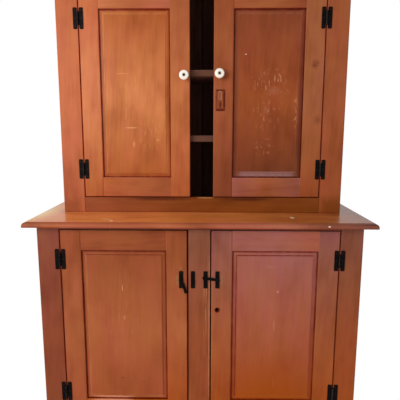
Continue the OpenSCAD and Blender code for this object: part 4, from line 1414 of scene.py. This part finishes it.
@dataclass(kw_only=True)
class PanelDoor(Joinery):
    """Door of two stiles, two rails and a raised panel."""

    slot: str = "door_wood"
    case: str
    side: Side
    hinge_tone: Tone
    latch_tone: Tone
    rail_tones: tuple[Tone, Tone]
    panel_tone: Tone
    bevel_looks: dict[str, BevelLook]
    latch_wear: float = 0.4
    outer_mm: float = 2.4
    inner_mm: float = 1.3
    shoulder_mm: float = 0.4
    back_mm: float = 1.0
    tongue_mm: float = 8.0
    tongue_behind_mm: float = 4.1
    step_mm: float = 1.4
    step_foot_share: float = 0.7
    bevel_mm: float = 18.0
    shadow_mm: float = 5.4
    fade_mm: float = 3.6
    line_mm: float = 3.4
    foot_mm: float = 0.5
    crest_mm: float = 0.7
    rim_mm: float = 3.0
    fade_worn_and_lit_share: float = 0.3
    fade_soiled_and_shaded: float = 0.3
    rim_worn_and_lit: float = 0.3
    rim_soiled_and_shaded_share: float = 0.4
    waves_mm: float = 0.28
    wave_length_mm: float = 130.0
    field_cuts: int = 26

    @property
    def prefix(self) -> str:
        """Start of the door's node names."""
        return f"{self.case}_{self.side.value}"

    def build(self) -> None:
        """Dresses the stiles and rails, and makes the panel."""
        outer, inner = ("left", "right") if self.side is Side.LEFT else ("right", "left")
        # A hinge stile's outer edge is darkened as painted shade in the gap beside it, and top
        # edges are painted a little lighter, as light falls from above
        for name, tone, out, into, out_wear_and_light, into_wear_and_light in (
            ("hinge_stile", self.hinge_tone, outer, inner, -1.0, 0.0),
            ("latch_stile", self.latch_tone, inner, outer, self.latch_wear, 0.0),
        ):
            self.board(f"{self.prefix}_{name}", Grain.UP, [tone], Easing(
                **{out: self.outer_mm, into: self.inner_mm}, bottom=self.outer_mm,
                top=self.outer_mm, back=self.back_mm,
                wear_and_light={out: out_wear_and_light, into: into_wear_and_light, "bottom": 0.0, "top": 0.2},
            ))
        # The rails' bottom edges are darkened as painted shade under them
        self.board(f"{self.prefix}_rails", Grain.ACROSS, self.rail_tones, Easing(
            self.shoulder_mm, self.shoulder_mm, self.inner_mm, self.inner_mm, self.back_mm,
            wear_and_light={"bottom": -0.8, "left": 0.0, "right": 0.0},
        ))
        self.panel()

    def panel(self) -> None:
        """Makes the raised panel from a block: tongue, bevel, step and wavy field."""
        node = f"{self.prefix}_panel"
        low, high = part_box(node)
        tongue_y = low.y + self.tongue_behind_mm * MM
        size = Vector((high.x - low.x, high.y - tongue_y, high.z - low.z))
        middle = Vector(((low.x + high.x) / 2, (tongue_y + high.y) / 2, (low.z + high.z) / 2))
        mesh = bmesh.new()
        bmesh.ops.create_cube(mesh, size=1.0,
                              matrix=Matrix.Translation(middle) @ Matrix.Diagonal((*size, 1)))
        wear_and_light = mesh.faces.layers.float.new(WEAR_AND_LIGHT)
        grime_and_shade = mesh.faces.layers.float.new(GRIME_AND_SHADE)
        front = min(mesh.faces, key=lambda f: f.calc_center_median().y)
        centre = front.calc_center_median()
        slope = (self.tongue_behind_mm - self.step_mm) / self.bevel_mm
        bright_mm = self.bevel_mm - self.shadow_mm - self.fade_mm - self.line_mm
        # The rings carry painted light and shade: the outer rings are a painted shadow from the
        # frame's edge, the bevel and its line are painted lighter or darker by side as light
        # falls, with some wear and dirt, and the step's crest is lightened for wear and as a
        # painted highlight
        rings = [
            (self.tongue_mm, 0.0, "shadow"),
            (self.shadow_mm, slope * self.shadow_mm, "shadow"),
            (self.fade_mm, slope * self.fade_mm, "fade"),
            (bright_mm, slope * bright_mm, "bevel"),
            (self.line_mm, slope * self.line_mm, "line"),
            (self.foot_mm, self.step_mm * self.step_foot_share, "line"),
            (self.crest_mm, self.step_mm * (1 - self.step_foot_share), "crest"),
            (self.rim_mm, 0.0, "rim"),
        ]
        for thickness_mm, depth_mm, ring in rings:
            made = bmesh.ops.inset_region(mesh, faces=[front], thickness=thickness_mm * MM,
                                          depth=depth_mm * MM, use_even_offset=True)
            for face in made["faces"]:
                off = face.calc_center_median() - centre
                look = self.bevel_looks[side_of(off.x, off.z)]
                face[wear_and_light], face[grime_and_shade] = {
                    "shadow": (0.0, 1.0),
                    "fade": (look.worn_and_lit * self.fade_worn_and_lit_share,
                             max(look.soiled_and_shaded, self.fade_soiled_and_shaded)),
                    "bevel": (look.worn_and_lit, look.soiled_and_shaded),
                    "line": (look.line_worn_and_lit, look.line_soiled_and_shaded),
                    "crest": (1.0, 0.0),
                    "rim": (self.rim_worn_and_lit, look.line_soiled_and_shaded * self.rim_soiled_and_shaded_share),
                }[ring]
        bmesh.ops.subdivide_edges(mesh, edges=list(front.edges), cuts=self.field_cuts,
                                  use_grid_fill=True)
        self.wave_field(mesh, low.y)
        lay_grain(mesh, node, Grain.UP, [self.panel_tone])
        finish_piece(mesh, node, "raised", [MARKED[node].material()])

    def wave_field(self, mesh: BMesh, front_y: float) -> None:
        """Leaves the slight waves of a hand plane in the field.

        Args:
            mesh: The panel.
            front_y: Y of its field.
        """
        flat = {f for f in mesh.faces
                if all(abs(v.co.y - front_y) < SAME_PLACE for v in f.verts)}
        # Inside the field a vertex has four faces; those on its outline stay where they are
        inner = {v for f in flat for v in f.verts
                 if len(v.link_faces) == 4 and flat.issuperset(v.link_faces)}
        # Moves the noise, so that the doors' waves differ
        start = Vector((len(self.prefix), 0.0, 3.0))
        for v in inner:
            wave = abs(noise(v.co / (self.wave_length_mm * MM) + start))
            v.co.y += wave * self.waves_mm * MM


@dataclass
class Knob:
    """Turned porcelain knob with a sunk screw."""

    side: Side
    finish: Material
    round_mm: float = 7.0
    round_steps: int = 14
    neck_mm: float = 7.5
    foot_mm: float = 10.0
    foot_thick_mm: float = 3.0
    bore_mm: float = 2.3
    recess_mm: float = 4.35
    recess_deep_mm: float = 2.0
    recess_lip_mm: float = 0.35
    crown_mm: float = 1.0
    soiled_and_shaded_mm: float = 4.6
    turns: int = 72
    sharp_deg: float = 50.0
    # Points of the crown, as shares of the way from the recess to the rounding
    crown_points: tuple[float, ...] = (0.04, 0.25, 0.5, 0.75)
    # Points of the curves: out from the neck and down from the head, out from the neck and up
    # from the foot's top, and in from the foot's edge and down from its top
    under_head_mm: tuple[tuple[float, float], ...] = ((1.2, 0.0), (0.3, 0.5), (0.0, 1.6))
    over_foot_mm: tuple[tuple[float, float], ...] = ((0.0, 2.4), (0.6, 0.9), (1.5, 0.25))
    foot_edge_mm: tuple[tuple[float, float], ...] = ((0.5, 0.1), (0.0, 0.7))

    def profile(self, radius_mm: float, out_mm: float) -> list[tuple[float, float]]:
        """Lists the section from the screw's recess round to the bore, as radius and height.

        Args:
            radius_mm: Outer radius of the head.
            out_mm: Distance from the door to the crown.

        Returns:
            Points in mm.
        """
        head_x = radius_mm - self.round_mm
        head_z = out_mm - self.crown_mm - self.round_mm
        across = [self.recess_mm + (head_x - self.recess_mm) * t for t in self.crown_points]
        turns = [math.pi * step / self.round_steps for step in range(self.round_steps + 1)]
        foot = self.foot_thick_mm
        return [
            (self.bore_mm, out_mm - self.recess_deep_mm),
            (self.recess_mm, out_mm - self.recess_deep_mm),
            (self.recess_mm, out_mm - self.recess_lip_mm),
            *((x, out_mm - self.crown_mm * (x / head_x) ** 2) for x in across),
            *((head_x + self.round_mm * math.sin(a), head_z + self.round_mm * math.cos(a))
              for a in turns),
            *((self.neck_mm + out, head_z - self.round_mm - down)
              for out, down in self.under_head_mm),
            *((self.neck_mm + out, foot + up) for out, up in self.over_foot_mm),
            *((self.foot_mm - into, foot - down) for into, down in self.foot_edge_mm),
            (self.foot_mm, 0.0),
            (self.bore_mm, 0.0),
        ]

    def build(self) -> None:
        """Spins the section about the knob's axis."""
        node = f"upper_{self.side.value}_knob"
        low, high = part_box(node)
        centre = Vector(((low.x + high.x) / 2, high.y, (low.z + high.z) / 2))
        mesh = bmesh.new()
        radius_mm, out_mm = (high.x - low.x) / 2 / MM, (high.y - low.y) / MM
        verts = [mesh.verts.new(centre + Vector((r * MM, -h * MM, 0)))
                 for r, h in self.profile(radius_mm, out_mm)]
        edges = [mesh.edges.new((a, b)) for a, b in zip(verts, [*verts[1:], verts[0]])]
        bmesh.ops.spin(mesh, geom=[*verts, *edges], cent=centre, axis=(0, 1, 0),
                       angle=math.tau, steps=self.turns, use_merge=True)
        bmesh.ops.remove_doubles(mesh, verts=mesh.verts, dist=TOUCHING)
        bmesh.ops.recalc_face_normals(mesh, faces=mesh.faces)
        # A grey ring round the screw's recess, partly dirt and partly painted shade
        soil_and_shade = mesh.verts.layers.float.new(GRIME_AND_SHADE)
        for v in mesh.verts:
            off = (v.co - centre) / MM
            if off.y < -out_mm / 2:
                reach = math.hypot(off.x, off.z) - self.recess_mm
                v[soil_and_shade] = min(max(1.0 - reach / self.soiled_and_shaded_mm, 0.0), 1.0)
        finish_piece(mesh, node, "turned", [self.finish], self.sharp_deg)


@dataclass
class Ironwork:
    """Hinges, latches and screws: copies of the CAD nodes with their edges broken."""

    iron: Material
    steel: Material
    # Width in mm of each casting's broken edges
    cast: dict[str, float]
    turned: list[str]
    slot: str = "black_iron"
    sharp_deg: float = 32.0
    broken_deg: float = 50.0

    def build(self) -> None:
        """Dresses the castings, and gives the pins and screws their finish."""
        for node, width_mm in self.cast.items():
            mesh = copy_node(node)
            edges = [e for e in mesh.edges if e.is_manifold
                     and e.calc_face_angle() > math.radians(self.broken_deg)]
            round_edges(mesh, edges, width_mm, 2)
            # The hinges' barrels get a painted highlight down their left sides
            if "hinge" in node:
                self.paint_barrel_highlights(mesh)
            finish_piece(mesh, node, "cast", [self.iron], self.sharp_deg)
        for node in self.turned:
            finish_piece(copy_node(node), node, "blued", [self.steel],
                         self.sharp_deg)

    @staticmethod
    def paint_barrel_highlights(mesh: BMesh) -> None:
        """Gives the round barrels' left sides the rubbed colour, as a painted highlight.

        Args:
            mesh: Hinge leaves with their edges broken.
        """
        wear_and_light = mesh.faces.layers.float.get(WEAR_AND_LIGHT)
        for face in mesh.faces:
            turned = BARREL_LEFT[0] < face.normal.x < BARREL_LEFT[1]
            if turned and face.normal.y < FRONTWARD and face.calc_area() > BARREL_STRIP_AREA:
                face[wear_and_light] = 1.0


@dataclass(frozen=True)
class Lamp:
    """Large soft square lamp."""

    name: str
    watts: float
    size: float
    place: Point
    aim: Point

    def hang(self) -> None:
        """Hangs the lamp and turns it to its aim."""
        data = bpy.data.lights.new(self.name, type="AREA")
        data.energy, data.size = self.watts, self.size
        lamp = bpy.data.objects.new(self.name, data)
        lamp.location = self.place
        facing = Vector(self.aim) - Vector(self.place)
        lamp.rotation_euler = facing.to_track_quat("-Z", "Y").to_euler()
        bpy.context.scene.collection.objects.link(lamp)


@dataclass
class Studio:
    """Pale floor, white surroundings, soft lamps and the photograph's camera."""

    photo_px: float = 400.0
    focal_px: float = 438.55
    sensor_mm: float = 36.0
    place: Point = (0.0295, -1.8117, 1.2534)
    tilt_deg: Point = (80.749, -0.084, 0.983)
    world_light: float = 0.42
    sky: str = "#F4F6FA"
    floor_half: float = 9.0
    floor_tones: tuple[str, str] = ("#E9E6E2", "#F2F0ED")
    floor_cloud: Spots = Spots(900, 900)
    floor_glow: float = 1.06
    floor_glow_share: float = 0.92
    lamps: tuple[Lamp, ...] = (
        Lamp("key_window", 72.0, 1.5, (-1.9, -2.3, 1.75), (-0.1, -0.1, 0.9)),
        Lamp("fill_window", 12.0, 2.0, (2.4, -2.2, 1.3), (0.0, 0.0, 0.9)),
    )

    def build(self) -> None:
        """Sets up the whole studio."""
        self.camera()
        self.surroundings()
        self.floor()
        for lamp in self.lamps:
            lamp.hang()
        bpy.context.scene.view_settings.view_transform = "Standard"

    def camera(self) -> None:
        """Stands the camera where the photograph was taken from."""
        data = bpy.data.cameras.new("photo_camera")
        data.sensor_width = self.sensor_mm
        data.lens = self.sensor_mm * self.focal_px / self.photo_px
        camera = bpy.data.objects.new("photo_camera", data)
        camera.location = self.place
        camera.rotation_euler = Euler([math.radians(a) for a in self.tilt_deg])
        bpy.context.scene.collection.objects.link(camera)
        bpy.context.scene.camera = camera

    @staticmethod
    def seen_directly(tree: NodeTree) -> Source:
        """Finds out what the camera, a mirror or glass sees.

        Args:
            tree: Node tree to add to.

        Returns:
            1 for what is seen so, and otherwise 0.
        """
        rays = add_node(tree, "LightPath").outputs
        seen = rays["Is Camera Ray"]
        for name in ("Is Glossy Ray", "Is Transmission Ray"):
            seen = add_node(tree, "Math", {0: seen, 1: rays[name]}, operation="MAXIMUM")
        return seen

    def surroundings(self) -> None:
        """Makes the world white to look at and softer as a light."""
        world = bpy.data.worlds.new("white_surroundings")
        world.use_nodes = True
        tree = world.node_tree
        tree.nodes.clear()
        seen = self.seen_directly(tree)
        strength = add_node(tree, "MapRange", {
            "Value": seen, "To Min": self.world_light, "To Max": 1.0,
        })
        glow = add_node(tree, "Background", {
            "Color": layered(tree, linear(self.sky), [(seen, WHITE)]), "Strength": strength,
        })
        add_node(tree, "OutputWorld", {"Surface": glow})
        bpy.context.scene.world = world

    def floor(self) -> None:
        """Lays a pale floor that keeps the cupboard's shadow."""
        mesh = bmesh.new()
        bmesh.ops.create_grid(mesh, x_segments=2, y_segments=2, size=self.floor_half)
        data = bpy.data.meshes.new("studio_floor")
        mesh.to_mesh(data)
        mesh.free()
        data.materials.append(self.floor_material())
        floor = bpy.data.objects.new("studio_floor", data)
        bpy.context.scene.collection.objects.link(floor)

    def floor_material(self) -> Material:
        """Makes painted board that looks white where no shadow falls on it."""
        material, tree = new_material("white_painted_floor")
        place = add_node(tree, "TexCoord").outputs["Object"]
        dull, bright = map(linear, self.floor_tones)
        tone = add_node(tree, "ValToRGB", {"Fac": self.floor_cloud.drawn(tree, place)},
                        [(0.3, dull), (0.7, bright)])
        share = add_node(tree, "Math", {
            0: self.seen_directly(tree), 1: self.floor_glow_share,
        }, operation="MULTIPLY")
        mixed = add_node(tree, "MixShader", {
            0: share, 1: add_node(tree, "BsdfDiffuse", {"Color": tone}),
            2: add_node(tree, "Emission", {"Color": WHITE, "Strength": self.floor_glow}),
        })
        add_node(tree, "OutputMaterial", {"Surface": mixed})
        return material


def face_frames(pine: Material) -> list[FrontBoards]:
    """Lists the boards at the front of the two cases.

    Args:
        pine: Finish of the boards without marks.

    Returns:
        The frame of the base and of the upper case.
    """
    # Rounding of the edges along a joint
    seam_mm = 0.4
    # Below 0 an edge is darkened: beside a door's gap as painted shade in the gap, and on the
    # upper bottom rail's top edge for grime and painted shade under the doors
    return [
        FrontBoards(finish=pine, boards={
            "base_stile_left": (Grain.UP, Tone(Stain.UMBER, Stain.UMBER, Stain.PLUM),
                                Easing(2.5, 1.5, 1.5, seam_mm, wear_and_light={"right": -1.0})),
            "base_stile_right": (Grain.UP, Tone(Stain.RUST, Stain.TILE, Stain.DUN),
                                 Easing(1.5, 2.5, 1.5, seam_mm, wear_and_light={"left": -1.0})),
            "base_stile_centre": (Grain.UP, Tone(Stain.TILE, Stain.BRICK, Stain.DUN),
                                  Easing(1.5, 1.5, seam_mm, seam_mm, wear_and_light={"left": -1.0})),
            "base_top_rail": (Grain.ACROSS, Tone(Stain.PLUM, Stain.PLUM, Stain.UMBER),
                              Easing(seam_mm, seam_mm, 1.0, seam_mm)),
            "base_bottom_rail": (Grain.ACROSS, Tone(Stain.BRICK, Stain.BRICK, Stain.RUST),
                                 Easing(seam_mm, seam_mm, 1.5, 1.0)),
        }),
        FrontBoards(finish=DARK_FOOTED.material(), boards={
            "upper_stile_left": (Grain.UP, Tone(Stain.RUSSET, Stain.CORAL, Stain.AMBER),
                                 Easing(3.0, 1.5, 1.0, seam_mm, wear_and_light={"right": -1.0})),
            "upper_stile_right": (Grain.UP, Tone(Stain.TILE, Stain.CHESTNUT, Stain.CHESTNUT),
                                  Easing(1.5, 3.0, 1.0, seam_mm, wear_and_light={"left": -1.0})),
            "upper_bottom_rail": (Grain.ACROSS, Tone(Stain.BRICK, Stain.WALNUT, Stain.WALNUT),
                                  Easing(seam_mm, seam_mm, 1.0, 2.0, wear_and_light={"top": -0.6})),
            "upper_frieze_rail": (Grain.ACROSS, Tone(Stain.AMBER, Stain.RUSSET, Stain.CHESTNUT),
                                  Easing(seam_mm, seam_mm, 1.0, seam_mm)),
        }),
    ]


def carcasses(pine: Material) -> list[Sides | Lining]:
    """Lists the side boards, level boards and back planks of the two cases.

    Args:
        pine: Finish of the sides and of the front edges inside.

    Returns:
        Those of the base, then those of the upper case.
    """
    levels = {
        "base": ("base_bottom_board", "base_shelf"),
        "upper": ("upper_bottom_board", "upper_top_board", "upper_high_shelf",
                  "upper_low_shelf"),
    }
    right = Tone(Stain.TILE, Stain.CHESTNUT, Stain.TILE)
    sides = {"base": (Tone(Stain.BRICK, Stain.CHESTNUT, Stain.BRICK), right),
             "upper": (Tone(Stain.RUSSET, Stain.AMBER, Stain.RUSSET), right)}
    boxes = [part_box(node) for nodes in levels.values() for node in nodes]
    rows_mm = tuple((low.z + high.z) / 2 / MM for low, high in boxes)
    lap_mm = 8.0
    inside = SawnPine("aged_sawn_pine_with_painted_shade").material()
    planks_inside = SawnPine("aged_sawn_pine_planks_with_painted_shade", lap_right_mm=lap_mm).material()
    planks_outside = SawnPine("weathered_sawn_pine", "#6B4A32", "#A98560", lap_left_mm=lap_mm,
                              nail_rows_mm=rows_mm).material()
    return [part for case in levels for part in (
        Sides(finish=pine, inside=inside, boards={
            f"{case}_side_{side.value}": tone for side, tone in zip(Side, sides[case])
        }),
        Lining(finish=inside, nodes=levels[case], grain=Grain.ACROSS, tone=Tone(Stain.SMOKE),
               outside=pine, outward=lambda face: face.normal.y < SHELF_FRONT, ease_mm=1.2),
        Lining(finish=planks_inside, nodes=(f"{case}_back_planks",), grain=Grain.UP,
               tone=Tone(Stain.UMBER), outside=planks_outside,
               outward=lambda face: face.normal.y > PLANK_BACK, ease_mm=0.8),
    )]


def doors(pine: Material) -> list[PanelDoor]:
    """Lists the four doors.

    Args:
        pine: Finish of the boards without marks.

    Returns:
        The doors, from the upper left one to the lower right one.
    """
    # Each bevel look paints its side lighter or darker as light falls on it; the bottom bevels of
    # the upper right and base left panels are lighter as a painted reflection
    return [
        PanelDoor(
            finish=pine, case="upper", side=Side.LEFT,
            hinge_tone=Tone(Stain.AMBER, Stain.HONEY, Stain.CORAL),
            latch_tone=Tone(Stain.AMBER, Stain.COPPER, Stain.CHESTNUT),
            rail_tones=(Tone(Stain.AMBER, Stain.RUSSET, Stain.CHESTNUT),
                        Tone(Stain.COPPER, Stain.RUSSET, Stain.CLAY)),
            panel_tone=Tone(Stain.SIENNA, Stain.HONEY, Stain.SIENNA),
            bevel_looks={"left": BevelLook(0.1, 0.1, 1.0), "top": BevelLook(0.5, 0.0, 0.9),
                         "right": BevelLook(0.1, 0.1, 0.7),
                         "bottom": BevelLook(0.0, 0.35, 0.0, 0.3)},
        ),
        PanelDoor(
            finish=pine, case="upper", side=Side.RIGHT,
            hinge_tone=Tone(Stain.TILE, Stain.FAWN, Stain.FAWN),
            latch_tone=Tone(Stain.UMBER, Stain.CHESTNUT, Stain.BRICK),
            rail_tones=(Tone(Stain.ROSE, Stain.CHESTNUT, Stain.ROSE),
                        Tone(Stain.CHESTNUT, Stain.CHESTNUT, Stain.BRICK)),
            panel_tone=Tone(Stain.BARK, Stain.TILE, Stain.UMBER),
            bevel_looks={"left": BevelLook(0.05, 0.1, 0.3), "top": BevelLook(0.3, 0.0, 0.9),
                         "right": BevelLook(0.0, 0.4, 0.6), "bottom": BevelLook(0.8)},
        ),
        PanelDoor(
            finish=pine, case="base", side=Side.LEFT,
            hinge_tone=Tone(Stain.TILE, Stain.CHESTNUT, Stain.BRICK),
            latch_tone=Tone(Stain.RUST, Stain.RUSSET, Stain.BRICK),
            rail_tones=(Tone(Stain.RUST), Tone(Stain.BRICK)),
            panel_tone=Tone(Stain.TILE, Stain.RUSSET, Stain.BRICK),
            bevel_looks={"left": BevelLook(0.25, 0.1, 1.0, 0.0),
                         "top": BevelLook(0.1, 0.0, 0.0, 0.6),
                         "right": BevelLook(0.0, 0.1, 0.0, 0.5),
                         "bottom": BevelLook(0.9, 0.0, 0.4)},
        ),
        # The base right door's shades run from orange at the foot to pink at the top, as painted
        # bounce light and a painted reflection
        PanelDoor(
            finish=pine, case="base", side=Side.RIGHT,
            hinge_tone=Tone(Stain.RUST, Stain.CHESTNUT, Stain.MAUVE),
            latch_tone=Tone(Stain.RUST, Stain.CHESTNUT, Stain.MAUVE),
            rail_tones=(Tone(Stain.RUST), Tone(Stain.ROSE, Stain.ROSE, Stain.CLAY)),
            panel_tone=Tone(Stain.RUST, Stain.CLAY, Stain.ROSE),
            bevel_looks={"left": BevelLook(0.0, 0.4, 0.0, 1.0),
                         "top": BevelLook(0.1, 0.15, 0.0, 1.0),
                         "right": BevelLook(0.1, 0.4, 0.5, 0.5),
                         "bottom": BevelLook(0.3, 0.1, 0.3)},
        ),
    ]


def ironwork() -> Ironwork:
    """Lists the cast and turned metal parts.

    Returns:
        The ironwork, with the width in mm of each casting's broken edges.
    """
    hung = [f"{case}_{side.value}" for case in ("upper", "base") for side in Side]
    return Ironwork(
        JapannedIron().material(), BluedSteel().material(),
        cast={"hinge_case_leaves": 0.3, "latch_keepers": 0.3,
              **{f"{name}_hinge_leaves": 0.3 for name in hung},
              **{f"base_{side.value}_latch_plate": 0.3 for side in Side},
              **{f"base_{side.value}_lever": 0.5 for side in Side}},
        turned=["hinge_pins", "case_screws", *[f"{name}_screws" for name in hung]],
    )


def main() -> None:
    """Builds the studio and every sub-assembly in turn."""
    logging.basicConfig(level=logging.INFO, format="%(message)s")
    Studio().build()
    pine = StainedPine().material()
    porcelain = GlazedPorcelain().material()
    patch = FrontBoards(finish=pine, slot="door_wood", boards={
        "upper_right_lock_patch": (Grain.UP, Tone(Stain.BRICK), Easing(0.6, 0.6, 0.6, 0.6, 0.3)),
    })
    for part in (
        *face_frames(pine), *carcasses(pine),
        Counter(finish=NOSING.material(), top=TOP_WITH_PAINTED_LIGHT.material()), Cornice(finish=pine),
        *doors(pine), patch, *(Knob(side, porcelain) for side in Side), ironwork(),
    ):
        part.build()


if __name__ == "__main__":
    main()
